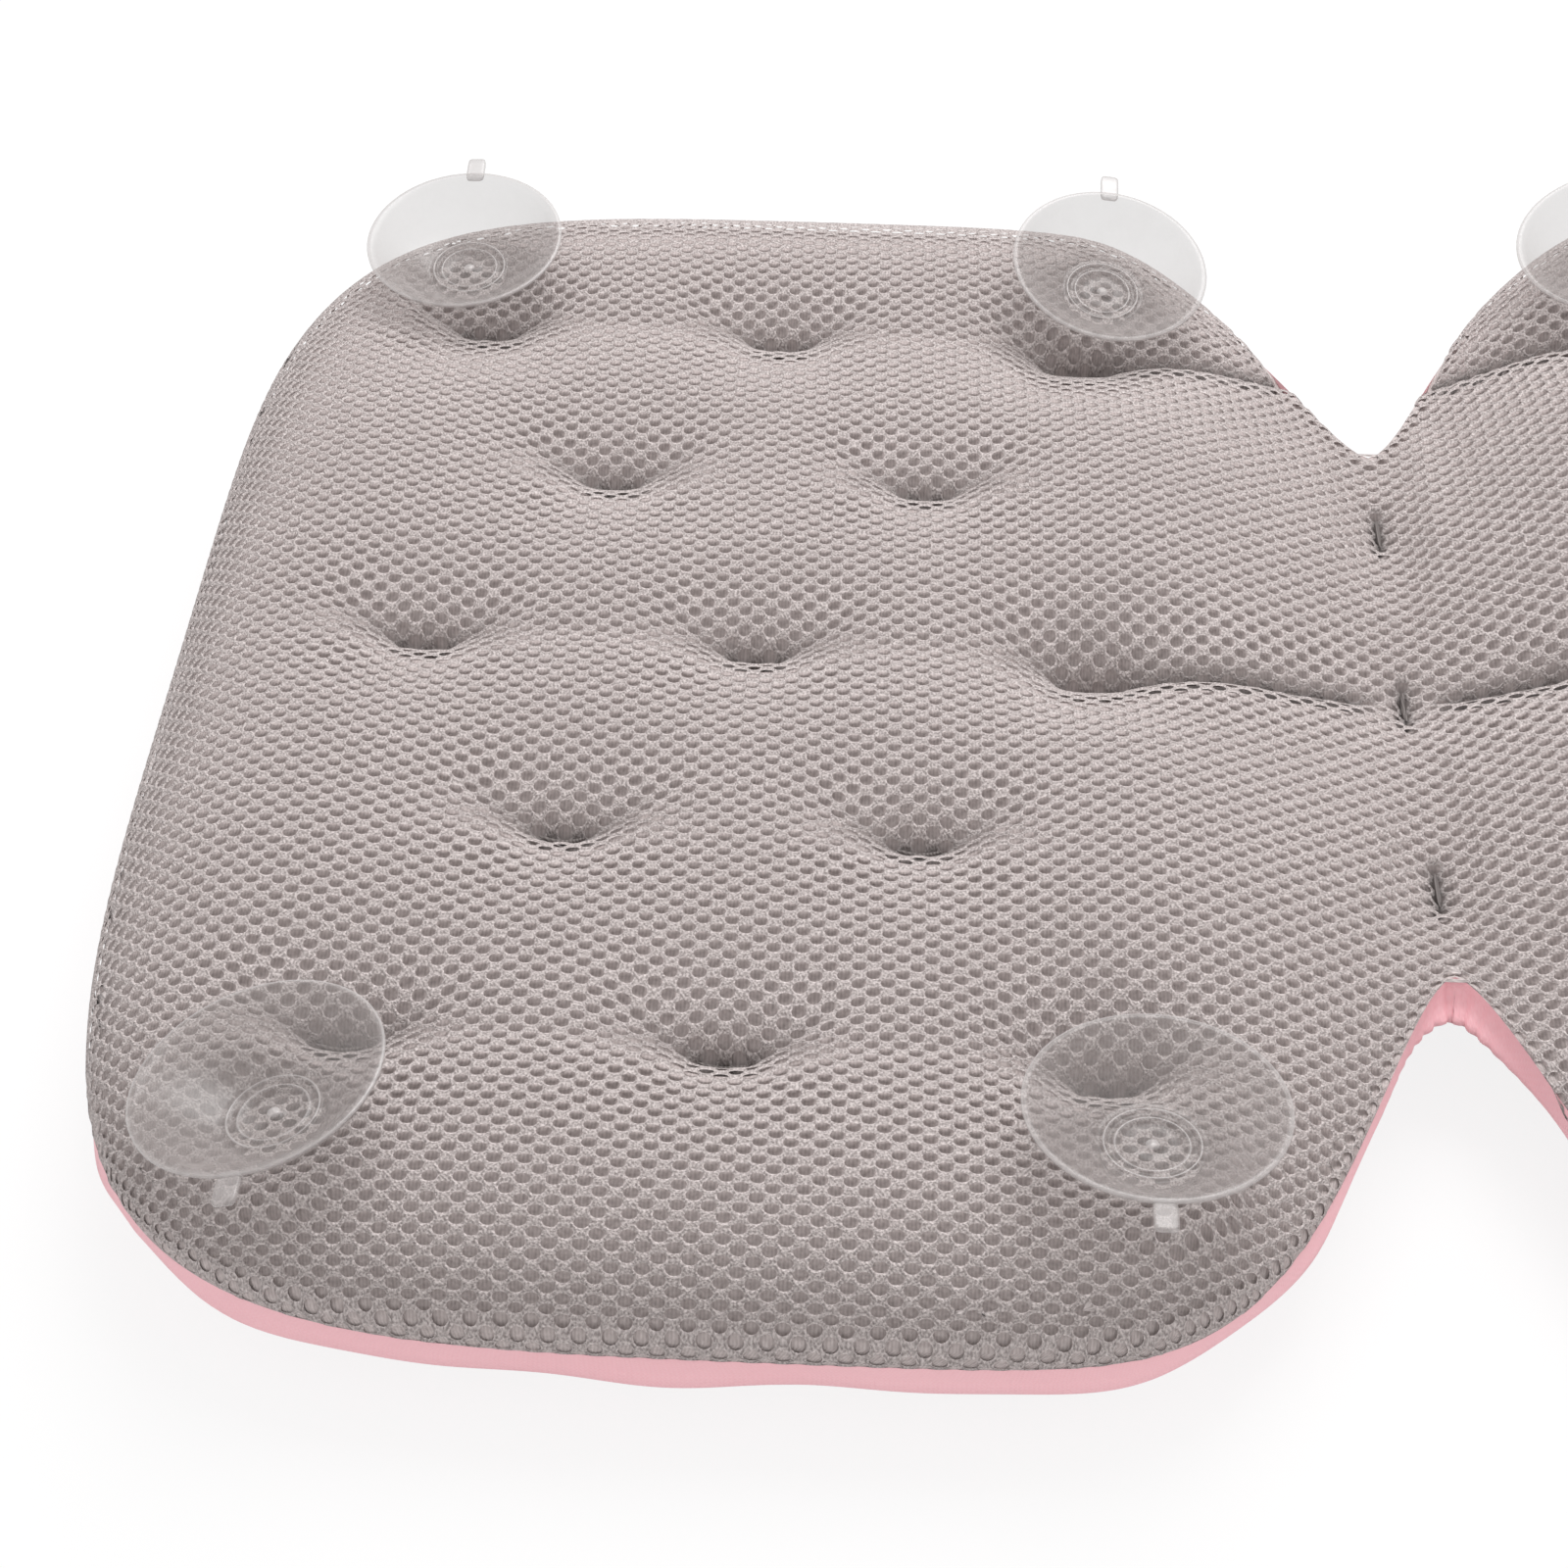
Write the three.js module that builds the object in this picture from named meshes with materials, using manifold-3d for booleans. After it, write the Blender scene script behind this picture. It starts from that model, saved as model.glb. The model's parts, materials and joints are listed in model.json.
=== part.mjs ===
// Bath pillow: two tufted pads joined at a soft waist, with suction cups on the rear face.
// Millimetres, +Z up. It lies on its front face on z = 0, with X along its length, the waist at
// X = 0 and the rear face with the suction cups on top.

import * as THREE from 'three';
import { mergeVertices } from 'three/addons/utils/BufferGeometryUtils.js';
import Module from 'manifold-3d';

const wasm = await Module();
wasm.setup();

// Plan of one lobe, measured from the waist
const LOBE_LENGTH = 282;
const LOBE_HALF_WIDTH = 182;
const WAIST_HALF_WIDTH = 87;
const SHOULDER_REACH = 32;
const SHOULDER_POWER = 1.55;
const END_ROUND_LENGTH = 162;
const END_ROUND_POWER = 4.5;
const END_CORNER_Y = 158;

// Heights over and under the edge seam
const BACK_REAR_CROWN = 29;
const NECK_REAR_CROWN = 44;
const FRONT_CROWN = 22;
const BACK_REAR_TUFT = 8;
const NECK_REAR_TUFT = 23;
const FRONT_TUFT = 7;
const REAR_WAIST_HEIGHT = 7;
const FRONT_WAIST_HEIGHT = 7;
const REAR_EDGE_REACH = 48;
const FRONT_EDGE_REACH = 20;
const WAIST_RAMP = 70;
const EDGE_THICKNESS = 1.4;
const RESTING_FLAT_DEPTH = 0.5;

// Cloth and seams
const MESH_THICKNESS = 3;
const COVER_THICKNESS = 2;
const SEAM_ALLOWANCE = 8;
const EDGE_BAND = 22;
const FILLING_EDGE_THICKNESS = 1.7;
const WEB_HALF_LENGTH = 14;
const CLEARANCE = 0.3;

// Tufts: three columns with two staggered columns between them
const TUFT_COLUMNS = 5;
const FIRST_TUFT_COLUMN = 72;
const TUFT_END_MARGIN = 58;
const TUFT_SIDE_MARGIN = 62;
const TUFT_RADIUS = 17;
const TUFT_POWER = 1.25;
const TUFT_STRETCH = 1.3;
const THREAD_RADIUS = 1.2;
const KNOT_RADIUS = 2.6;
const KNOT_HEIGHT = 2.4;
const KNOT_RISE = 1.7;
const CHANNEL_RADIUS = 14;
const CHANNEL_DEPTH = 0.25;

// Suction cups
const CUP_RADIUS = 25;
const CUP_DEPTH = 10.5;
const CUP_RIM_WIDTH = 1.2;
const CUP_RIM_HEIGHT = 0.9;
const BOWL_CURVE = 0.4;
const CUP_FLOOR = 1.8;
const BOSS_RADIUS = 9.7;
const BOSS_HEIGHT = 2.4;
const NECK_RADIUS = 4;
const HEAD_RADIUS = 6.6;
const HEAD_HEIGHT = 2.8;
const HEAD_CHAMFER_WIDTH = 0.8;
const HEAD_CHAMFER_HEIGHT = 1.1;
const TAB_WIDTH = 4.6;
const TAB_LENGTH = 6.4;
const TAB_THICKNESS = 1.4;
const TAB_OVERLAP = 1.8;
const TAB_STEP = 0.4;
const CUP_PAST_TUFT_X = 6;
const CUP_PAST_TUFT_FAR = 18;
const CUP_PAST_TUFT_NEAR = 27;
const CUP_DIP_RADIUS = 22;
const CUP_DIP_DEPTH = 0.15;

// Lean of the cups in degrees, towards the lobe's end and towards the middle of its width: at the
// end on the far and the near side, then at the waist on the far and the near side
const BACK_CUP_LEANS = [[2, 9], [13, 4], [-7, 14], [0, 7]];
const NECK_CUP_LEANS = [[5, 8], [7, 7], [-12, 10], [-10, 9]];

// Seat of a suction cup in the mesh, and its washer
const SEAT_RADIUS = 11;
const SEAT_THICKNESS = 6;
const NECK_CLEARANCE = 0.4;
const WASHER_RADIUS = 9;
const WASHER_THICKNESS = 1.5;
const POCKET_CLEARANCE = 0.6;

// Facets
const ROUND_STEPS = 16;
const SEAT_STEPS = 6;
const THREAD_STEPS = 4;
const SEAM_RINGS = 2;
const COLUMN_CELLS = [3, 8, 2, 1, 1];
const ROW_CELLS = [2, 2, 1, 1, 1, 1];
const OUTLINE_STEPS = 60;

const seamGap = CLEARANCE / 2;
const lobeStart = WEB_HALF_LENGTH + CLEARANCE;
const endRoundStart = LOBE_LENGTH - END_ROUND_LENGTH;

// Finishes
const finishes = {
  mesh: { color: 0xb4abaa, roughness: 0.95, metalness: 0 },
  cover: { color: 0xe9aeb6, roughness: 0.8, metalness: 0 },
  filling: { color: 0xf2f0ec, roughness: 1, metalness: 0 },
  thread: { color: 0x8d8583, roughness: 0.85, metalness: 0 },
  cup: { color: 0xe6e6e6, roughness: 0.12, metalness: 0, transparent: true, opacity: 0.45 },
  washer: { color: 0xdedede, roughness: 0.35, metalness: 0 },
};

const pillow = new THREE.Group();

function addPiece(name, geometry, finish) {
  const mesh = new THREE.Mesh(geometry, new THREE.MeshStandardMaterial(finishes[finish]));
  mesh.name = name;
  pillow.add(mesh);
  return mesh;
}

// Solids: from a geometry to a closed solid and back
function toSolid(geometry) {
  const bare = geometry.clone();
  bare.deleteAttribute('normal');
  bare.deleteAttribute('uv');
  const merged = mergeVertices(bare, 1e-4);
  return new wasm.Manifold(new wasm.Mesh({
    numProp: 3,
    vertProperties: new Float32Array(merged.attributes.position.array),
    triVerts: new Uint32Array(merged.index.array),
  }));
}

function toGeometry(solid) {
  const mesh = solid.getMesh();
  const geometry = new THREE.BufferGeometry();
  geometry.setAttribute('position', new THREE.BufferAttribute(mesh.vertProperties, 3));
  geometry.setIndex(new THREE.BufferAttribute(mesh.triVerts, 1));
  return geometry;
}

// A turned solid about Z, from a profile of [radius, height] that starts and ends on the axis.
function turned(profile, steps) {
  const points = profile.map(([radius, height]) => new THREE.Vector2(radius, height));
  return new THREE.LatheGeometry(points, steps).rotateX(Math.PI / 2);
}

// A prism about Z whose flat sides lie at the radius, so that a round piece inside stays clear of it.
const flatSides = (radius, steps) => radius / Math.cos(Math.PI / steps);

function prism(radius, low, high, steps) {
  const corner = flatSides(radius, steps);
  return turned([[0, low], [corner, low], [corner, high], [0, high]], steps);
}

// Half width of a lobe at distance u from the waist: it widens quickly from the waist, and its
// outer end rounds off as a superellipse.
function halfWidth(u) {
  const spread = LOBE_HALF_WIDTH - WAIST_HALF_WIDTH;
  const side = LOBE_HALF_WIDTH - spread * Math.exp(-Math.pow(u / SHOULDER_REACH, SHOULDER_POWER));
  const past = Math.max(u - endRoundStart, 0) / END_ROUND_LENGTH;
  return side * Math.pow(1 - Math.pow(past, END_ROUND_POWER), 1 / END_ROUND_POWER);
}

// Distance from the waist of the rounded end at width y.
function endReach(y) {
  const share = Math.pow(Math.abs(y) / LOBE_HALF_WIDTH, END_ROUND_POWER);
  return endRoundStart + END_ROUND_LENGTH * Math.pow(1 - share, 1 / END_ROUND_POWER);
}

const cornerReach = endReach(END_CORNER_Y);

// Sampled outline of the half with y over 0, for distances to the edge.
const outline = [];
for (let i = 0; i <= OUTLINE_STEPS; i++) {
  const u = cornerReach * i / OUTLINE_STEPS;
  outline.push([u, halfWidth(u)]);
}
for (let i = 0; i <= OUTLINE_STEPS; i++) {
  const y = END_CORNER_Y * (1 - i / OUTLINE_STEPS);
  outline.push([endReach(y), y]);
}

function segmentDistance(u, y, [u0, y0], [u1, y1]) {
  const length2 = (u1 - u0) ** 2 + (y1 - y0) ** 2;
  const along = length2 ? ((u - u0) * (u1 - u0) + (y - y0) * (y1 - y0)) / length2 : 0;
  const t = Math.min(Math.max(along, 0), 1);
  return Math.hypot(u - u0 - t * (u1 - u0), y - y0 - t * (y1 - y0));
}

function edgeDistance(u, y) {
  let nearest = Infinity;
  for (let i = 1; i < outline.length; i++) {
    nearest = Math.min(nearest, segmentDistance(u, Math.abs(y), outline[i - 1], outline[i]));
  }
  return nearest;
}

// Tufts of a lobe as [u, y], in three full columns and two staggered ones, set in from its outline.
const lastTuftColumn = LOBE_LENGTH - TUFT_END_MARGIN;
const cornerTuftRow = LOBE_HALF_WIDTH - TUFT_SIDE_MARGIN;
const tuftColumnStep = (lastTuftColumn - FIRST_TUFT_COLUMN) / (TUFT_COLUMNS - 1);
const tuftRowStep = cornerTuftRow / 2;
const tufts = [];
for (let column = 0; column < TUFT_COLUMNS; column++) {
  const u = FIRST_TUFT_COLUMN + column * tuftColumnStep;
  const rows = column % 2 ? [-1, 1] : [-2, 0, 2];
  for (const row of rows) {
    tufts.push([u, row * tuftRowStep]);
  }
}
const waistTacks = [-1, 0, 1].map((row) => [0, row * tuftRowStep]);

// Cups sit just past the corner tufts, away from the middle of the lobe, nearer to the edge on one side.
const outerCupU = lastTuftColumn + CUP_PAST_TUFT_X;
const innerCupU = FIRST_TUFT_COLUMN - CUP_PAST_TUFT_X;
const farCupY = cornerTuftRow + CUP_PAST_TUFT_FAR;
const nearCupY = cornerTuftRow + CUP_PAST_TUFT_NEAR;
const cupPlaces = [[outerCupU, farCupY], [outerCupU, -nearCupY], [innerCupU, farCupY], [innerCupU, -nearCupY]];

// Faces of a lobe: how far each stands out from the seam, at its crown, its tufts and the waist
const rearFace = { waist: REAR_WAIST_HEIGHT, reach: REAR_EDGE_REACH, dips: cupPlaces };
const frontFace = {
  crown: FRONT_CROWN,
  tuft: FRONT_TUFT,
  waist: FRONT_WAIST_HEIGHT,
  reach: FRONT_EDGE_REACH,
  channelRows: [],
  dips: [],
};
const lobes = [
  {
    name: 'back',
    side: -1,
    cupLeans: BACK_CUP_LEANS,
    rear: { ...rearFace, crown: BACK_REAR_CROWN, tuft: BACK_REAR_TUFT, channelRows: [0, 2] },
    front: frontFace,
  },
  {
    name: 'neck',
    side: 1,
    cupLeans: NECK_CUP_LEANS,
    rear: { ...rearFace, crown: NECK_REAR_CROWN, tuft: NECK_REAR_TUFT, channelRows: [-2, 0, 2] },
    front: frontFace,
  },
];

// How far a face stands out at [u, y]: a rounded edge, a ramp up from the waist, a dimple at each
// tuft and tack, a shallow channel from the inner tufts to the waist, and a dip under each cup.
function standOut(face, u, y) {
  const fromEdge = 1 - Math.min(edgeDistance(u, y) / face.reach, 1);
  const edge = Math.sqrt(1 - fromEdge * fromEdge);
  const climb = Math.min(u / WAIST_RAMP, 1);
  const ramp = climb * climb * (3 - 2 * climb);
  const height = face.waist + (face.crown - face.waist) * ramp;
  let pull = 1;
  for (const [tuftU, tuftY] of [...tufts, ...waistTacks]) {
    const away = Math.hypot((u - tuftU) / TUFT_STRETCH, y - tuftY) / TUFT_RADIUS;
    pull *= 1 - (1 - face.tuft / face.crown) * Math.exp(-Math.pow(away, TUFT_POWER));
  }
  for (const row of face.channelRows) {
    const rowY = row * tuftRowStep;
    const away = segmentDistance(u, y, [0, rowY], [FIRST_TUFT_COLUMN, rowY]) / CHANNEL_RADIUS;
    pull *= 1 - CHANNEL_DEPTH * Math.exp(-away * away);
  }
  for (const [dipU, dipY] of face.dips) {
    const away = Math.hypot(u - dipU, y - dipY) / CUP_DIP_RADIUS;
    pull *= 1 - CUP_DIP_DEPTH * Math.exp(-away * away);
  }
  return EDGE_THICKNESS + height * edge * pull;
}

// Grid of a lobe: columns from the waist to the end, rows across, with the tufts on grid points
function spaced(stops, counts) {
  const values = [stops[0]];
  counts.forEach((count, k) => {
    for (let i = 1; i <= count; i++) {
      values.push(stops[k] + (stops[k + 1] - stops[k]) * i / count);
    }
  });
  return values;
}

const edgeStops = (edge) => [edge - EDGE_BAND, edge - SEAM_ALLOWANCE, edge];
const columnStops = [lobeStart, FIRST_TUFT_COLUMN, lastTuftColumn, ...edgeStops(LOBE_LENGTH)];
const columns = spaced(columnStops, COLUMN_CELLS);
const cupRow = (farCupY + nearCupY) / 2;
const rowStops = [0, tuftRowStep, cornerTuftRow, cupRow, ...edgeStops(LOBE_HALF_WIDTH)];
const halfRows = spaced(rowStops, ROW_CELLS);
const rowValues = [...halfRows.slice(1).reverse().map((y) => -y), ...halfRows];

// Each row runs from the waist to the rounded end, each column spans the lobe's width.
function planGrid() {
  return columns.map((column) => {
    const share = (column - lobeStart) / (LOBE_LENGTH - lobeStart);
    const width = halfWidth(lobeStart + share * (cornerReach - lobeStart));
    return rowValues.map((row) => {
      const across = row / LOBE_HALF_WIDTH;
      const reach = endReach(across * END_CORNER_Y);
      return [lobeStart + share * (reach - lobeStart), across * width];
    });
  });
}

// How many rings a grid point lies in from the sewn edge, which runs along both sides and the end.
function ringOf(i, j) {
  return Math.min(j, rowValues.length - 1 - j, columns.length - 1 - i);
}

// Moves the nearest free grid point inside the seam's rings onto each tuft and cup.
function snapGrid(grid, places) {
  const taken = new Set();
  for (const [u, y] of places) {
    let best = null;
    for (let i = 1; i < grid.length - SEAM_RINGS; i++) {
      for (let j = SEAM_RINGS; j < rowValues.length - SEAM_RINGS; j++) {
        const away = Math.hypot(grid[i][j][0] - u, grid[i][j][1] - y);
        if (!taken.has(`${i},${j}`) && (!best || away < best.away)) {
          best = { i, j, away };
        }
      }
    }
    taken.add(`${best.i},${best.j}`);
    grid[best.i][best.j] = [u, y];
  }
  return grid;
}

const lobeGrid = snapGrid(planGrid(), [...tufts, ...cupPlaces]);

// Seam height: the deepest bulge of the front reaches the floor, cut flat there.
let deepestFront = 0;
for (const column of lobeGrid) {
  for (const [u, y] of column) {
    deepestFront = Math.max(deepestFront, standOut(lobes[0].front, u, y));
  }
}
const seamZ = deepestFront - RESTING_FLAT_DEPTH;

// Two triangles of a grid cell. The diagonals alternate, so that they all meet at the tufts.
const tuftParity = (COLUMN_CELLS[0] + (rowValues.length - 1) / 2) % 2;

function cellTriangles(i, j) {
  const [a, b, c, d] = [[i, j], [i + 1, j], [i + 1, j + 1], [i, j + 1]];
  return (i + j) % 2 === tuftParity ? [[a, b, c], [a, c, d]] : [[a, b, d], [b, c, d]];
}

// A closed sheet over a grid of [x, y], between a lower and an upper height at each grid point.
// Turned sheets run along -X. The first row counts from the edge of the whole grid.
function closedSheet(grid, lower, upper, turnedRound = false, firstRow = 0) {
  const rows = grid[0].length;
  const positions = [];
  const count = grid.length * rows;
  for (const heights of [lower, upper]) {
    grid.forEach((column, i) => column.forEach(([x, y], j) => positions.push(x, y, heights[i][j])));
  }
  const triangles = [];
  const triangle = (a, b, c) => triangles.push(...(turnedRound ? [a, c, b] : [a, b, c]));
  const at = (i, j) => i * rows + j;
  for (let i = 0; i + 1 < grid.length; i++) {
    for (let j = firstRow; j + 1 < firstRow + rows; j++) {
      for (const corners of cellTriangles(i, j)) {
        const [a, b, c] = corners.map(([column, row]) => at(column, row - firstRow));
        triangle(count + a, count + b, count + c);
        triangle(a, c, b);
      }
    }
  }
  const loop = [];
  for (let i = 0; i < grid.length; i++) loop.push(at(i, 0));
  for (let j = 1; j < rows; j++) loop.push(at(grid.length - 1, j));
  for (let i = grid.length - 2; i >= 0; i--) loop.push(at(i, rows - 1));
  for (let j = rows - 2; j > 0; j--) loop.push(at(0, j));
  loop.forEach((a, k) => {
    const b = loop[(k + 1) % loop.length];
    triangle(a, b, count + b);
    triangle(a, count + b, count + a);
  });
  const geometry = new THREE.BufferGeometry();
  geometry.setAttribute('position', new THREE.Float32BufferAttribute(positions, 3));
  geometry.setIndex(triangles);
  return geometry;
}

function sheetOnLobe(lobe, grid, lower, upper, firstRow = 0) {
  const plan = grid.map((column) => column.map(([u, y]) => [lobe.side * u, y]));
  return toSolid(closedSheet(plan, lower, upper, lobe.side < 0, firstRow));
}

const mapGrid = (grid, value) => grid.map((column, i) => column.map(([u, y], j) => value(u, y, i, j)));

// Inside of a cover over the filling: closed at the seam, clear of the filling's edge in the next
// ring, then one thickness in from the outside
function insideOf(outer, thickness, i, j) {
  const ring = ringOf(i, j);
  if (ring === 0) return seamGap;
  return ring === 1 ? FILLING_EDGE_THICKNESS / 2 + CLEARANCE : outer - thickness;
}

// Height of the rear face's facets at [u, y], as built on the grid
function facetHeight(grid, heights, u, y) {
  for (let i = 0; i + 1 < grid.length; i++) {
    for (let j = 0; j + 1 < grid[i].length; j++) {
      for (const corners of cellTriangles(i, j)) {
        const flat = corners.map(([a, b]) => new THREE.Vector3(...grid[a][b], 0));
        const weights = new THREE.Vector3();
        const found = THREE.Triangle.getBarycoord(new THREE.Vector3(u, y, 0), ...flat, weights);
        if (found && Math.min(weights.x, weights.y, weights.z) >= -1e-9) {
          return weights.dot(new THREE.Vector3(...corners.map(([a, b]) => heights[a][b])));
        }
      }
    }
  }
  return 0;
}

// Frame of a cup: the middle of its seat on the mesh, its leaning axis, and its pull tab pointing
// away from the middle of the lobe.
function cupFrame(lobe, [u, y], lean, heights) {
  let sum = 0;
  for (let k = 0; k < ROUND_STEPS; k++) {
    const turn = 2 * Math.PI * k / ROUND_STEPS;
    const across = y + SEAT_RADIUS * Math.sin(turn);
    sum += facetHeight(lobeGrid, heights, u + SEAT_RADIUS * Math.cos(turn), across);
  }
  const [leanOut, leanIn] = lean.map(THREE.MathUtils.degToRad);
  const outwards = Math.sign(y);
  const axis = new THREE.Vector3(lobe.side * Math.tan(leanOut), -outwards * Math.tan(leanIn), 1);
  const frame = new THREE.Object3D();
  frame.position.set(lobe.side * u, y, seamZ + sum / ROUND_STEPS);
  frame.quaternion.setFromUnitVectors(new THREE.Vector3(0, 0, 1), axis.normalize());
  frame.rotateZ(outwards * Math.PI / 2);
  frame.updateMatrixWorld(true);
  return frame;
}

// Stack of a cup along its axis, from the top of the seat
const washerTop = -SEAT_THICKNESS - CLEARANCE;
const headTop = washerTop - WASHER_THICKNESS - CLEARANCE;
const headBottom = headTop - HEAD_HEIGHT;
const bossBottom = CLEARANCE;
const cupFloor = bossBottom + BOSS_HEIGHT + CUP_FLOOR;
const cupRim = cupFloor + CUP_DEPTH;

// Bowl of a cup as [radius, height]: its outside from the boss to the rim, its inside back down
const bossTop = bossBottom + BOSS_HEIGHT;
const bowlMiddle = (BOSS_RADIUS + CUP_RADIUS) / 2;
const bowlOutside = [
  [BOSS_RADIUS, bossTop],
  [bowlMiddle, bossTop + (cupRim - CUP_RIM_HEIGHT - bossTop) * BOWL_CURVE],
  [CUP_RADIUS, cupRim - CUP_RIM_HEIGHT],
  [CUP_RADIUS, cupRim],
];
const bowlInside = [
  [CUP_RADIUS - CUP_RIM_WIDTH, cupRim],
  [bowlMiddle - CUP_RIM_WIDTH / 2, cupFloor + CUP_DEPTH * BOWL_CURVE],
  [BOSS_RADIUS, cupFloor],
  [0, cupFloor],
];

// Suction cup: a mushroom foot, a neck, a boss, and a thin bowl with a flat sealing rim and a tab
function suctionCup() {
  const profile = [
    [0, headBottom],
    [HEAD_RADIUS - HEAD_CHAMFER_WIDTH, headBottom],
    [HEAD_RADIUS, headBottom + HEAD_CHAMFER_HEIGHT],
    [HEAD_RADIUS, headTop],
    [NECK_RADIUS, headTop],
    [NECK_RADIUS, bossBottom],
    [BOSS_RADIUS, bossBottom],
    ...bowlOutside,
    ...bowlInside,
  ];
  const bowl = toSolid(turned(profile, ROUND_STEPS));
  const tab = new THREE.BoxGeometry(TAB_LENGTH + TAB_OVERLAP, TAB_WIDTH, TAB_THICKNESS);
  const tabMiddle = CUP_RADIUS + (TAB_LENGTH - TAB_OVERLAP) / 2;
  tab.translate(tabMiddle, 0, cupRim - TAB_STEP - TAB_THICKNESS / 2);
  const inside = toSolid(turned([...bowlInside].reverse().concat([[0, cupRim]]), ROUND_STEPS));
  return toGeometry(bowl.add(toSolid(tab).subtract(inside)));
}

// Room that the mesh leaves for a cup: its outside, one clearance larger, down to the seat
const roomAround = SEAT_RADIUS - BOSS_RADIUS;
const cupRoom = [
  [0, 0],
  [flatSides(SEAT_RADIUS, SEAT_STEPS), 0],
  ...bowlOutside.slice(0, -1).map(([radius, height]) => [flatSides(radius + roomAround, SEAT_STEPS), height]),
  [0, cupRim - CUP_RIM_HEIGHT],
];

function washer() {
  const hole = flatSides(NECK_RADIUS + NECK_CLEARANCE, SEAT_STEPS);
  const low = washerTop - WASHER_THICKNESS;
  const ring = [[hole, low], [WASHER_RADIUS, low], [WASHER_RADIUS, washerTop], [hole, washerTop], [hole, low]];
  return turned(ring, SEAT_STEPS);
}

// Tie through a tuft: a square thread with a knot that widens outwards at each face
function tie(low, high) {
  const lowKnot = low - KNOT_RISE;
  const highKnot = high + KNOT_RISE;
  return turned([
    [0, lowKnot - KNOT_HEIGHT],
    [KNOT_RADIUS, lowKnot - KNOT_HEIGHT],
    [THREAD_RADIUS, lowKnot],
    [THREAD_RADIUS, highKnot],
    [KNOT_RADIUS, highKnot + KNOT_HEIGHT],
    [0, highKnot + KNOT_HEIGHT],
  ], THREAD_STEPS);
}

// The hole for a tie runs right through, and keeps the clearance to the flat sides of its thread.
const tieHoleRadius = THREAD_RADIUS * Math.cos(Math.PI / THREAD_STEPS) + CLEARANCE;
const tallest = NECK_REAR_CROWN + FRONT_CROWN + cupRim;

function tieHoles(places, side) {
  return places.map(([u, y]) => {
    const hole = prism(tieHoleRadius, seamZ - tallest, seamZ + tallest, THREAD_STEPS);
    return toSolid(hole.translate(side * u, y, 0));
  });
}

const cutAll = (solid, cutters) => cutters.reduce((left, cutter) => left.subtract(cutter), solid);
const floorCut = toSolid(new THREE.BoxGeometry(2 * LOBE_LENGTH, 2 * LOBE_HALF_WIDTH, tallest)
  .translate(0, 0, -tallest / 2));

// Lobes: mesh, front cover and filling on one grid, so that their facets stay parallel
for (const lobe of lobes) {
  const rearOut = mapGrid(lobeGrid, (u, y) => standOut(lobe.rear, u, y));
  const frontOut = mapGrid(lobeGrid, (u, y) => standOut(lobe.front, u, y));
  const rearIn = mapGrid(lobeGrid, (u, y, i, j) => insideOf(rearOut[i][j], MESH_THICKNESS, i, j));
  const frontIn = mapGrid(lobeGrid, (u, y, i, j) => insideOf(frontOut[i][j], COVER_THICKNESS, i, j));
  const above = (heights, gap) => heights.map((column) => column.map((h) => seamZ + h - gap));
  const below = (heights, gap) => heights.map((column) => column.map((h) => seamZ - h + gap));
  const inner = (table) => table.slice(0, -1).map((column) => column.slice(1, -1));

  let mesh = sheetOnLobe(lobe, lobeGrid, above(rearIn, 0), above(rearOut, 0));
  let cover = sheetOnLobe(lobe, lobeGrid, below(frontOut, 0), below(frontIn, 0)).subtract(floorCut);
  let filling = sheetOnLobe(lobe, inner(lobeGrid), inner(below(frontIn, CLEARANCE)),
    inner(above(rearIn, CLEARANCE)), 1);

  cupPlaces.forEach((place, k) => {
    const frame = cupFrame(lobe, place, lobe.cupLeans[k], rearOut);
    const placed = (radius, low, high) => {
      return toSolid(prism(radius, low, high, SEAT_STEPS).applyMatrix4(frame.matrixWorld));
    };
    const room = toSolid(turned(cupRoom, SEAT_STEPS).applyMatrix4(frame.matrixWorld));
    mesh = mesh.add(placed(SEAT_RADIUS, -SEAT_THICKNESS, 0))
      .subtract(room)
      .subtract(placed(SEAT_RADIUS, headBottom, -SEAT_THICKNESS))
      .subtract(placed(NECK_RADIUS + NECK_CLEARANCE, headBottom, cupFloor));
    filling = filling.subtract(placed(SEAT_RADIUS + POCKET_CLEARANCE, headBottom - POCKET_CLEARANCE, cupFloor));
    const cup = addPiece(`suction_cup_${lobe.name}_${k + 1}`, suctionCup(), 'cup');
    const ring = addPiece(`cup_washer_${lobe.name}_${k + 1}`, washer(), 'washer');
    for (const piece of [cup, ring]) {
      piece.position.copy(frame.position);
      piece.quaternion.copy(frame.quaternion);
    }
  });

  const holes = tieHoles(tufts, lobe.side);
  addPiece(`rear_mesh_${lobe.name}`, toGeometry(cutAll(mesh, holes)), 'mesh');
  addPiece(`front_cover_${lobe.name}`, toGeometry(cutAll(cover, holes)), 'cover');
  addPiece(`filling_${lobe.name}`, toGeometry(cutAll(filling, holes)), 'filling');
  tufts.forEach(([u, y], k) => {
    const low = seamZ - standOut(lobe.front, u, y);
    const high = seamZ + standOut(lobe.rear, u, y);
    const number = String(k + 1).padStart(2, '0');
    addPiece(`tuft_tie_${lobe.name}_${number}`, tie(low, high), 'thread').position.set(lobe.side * u, y, 0);
  });
}

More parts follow.
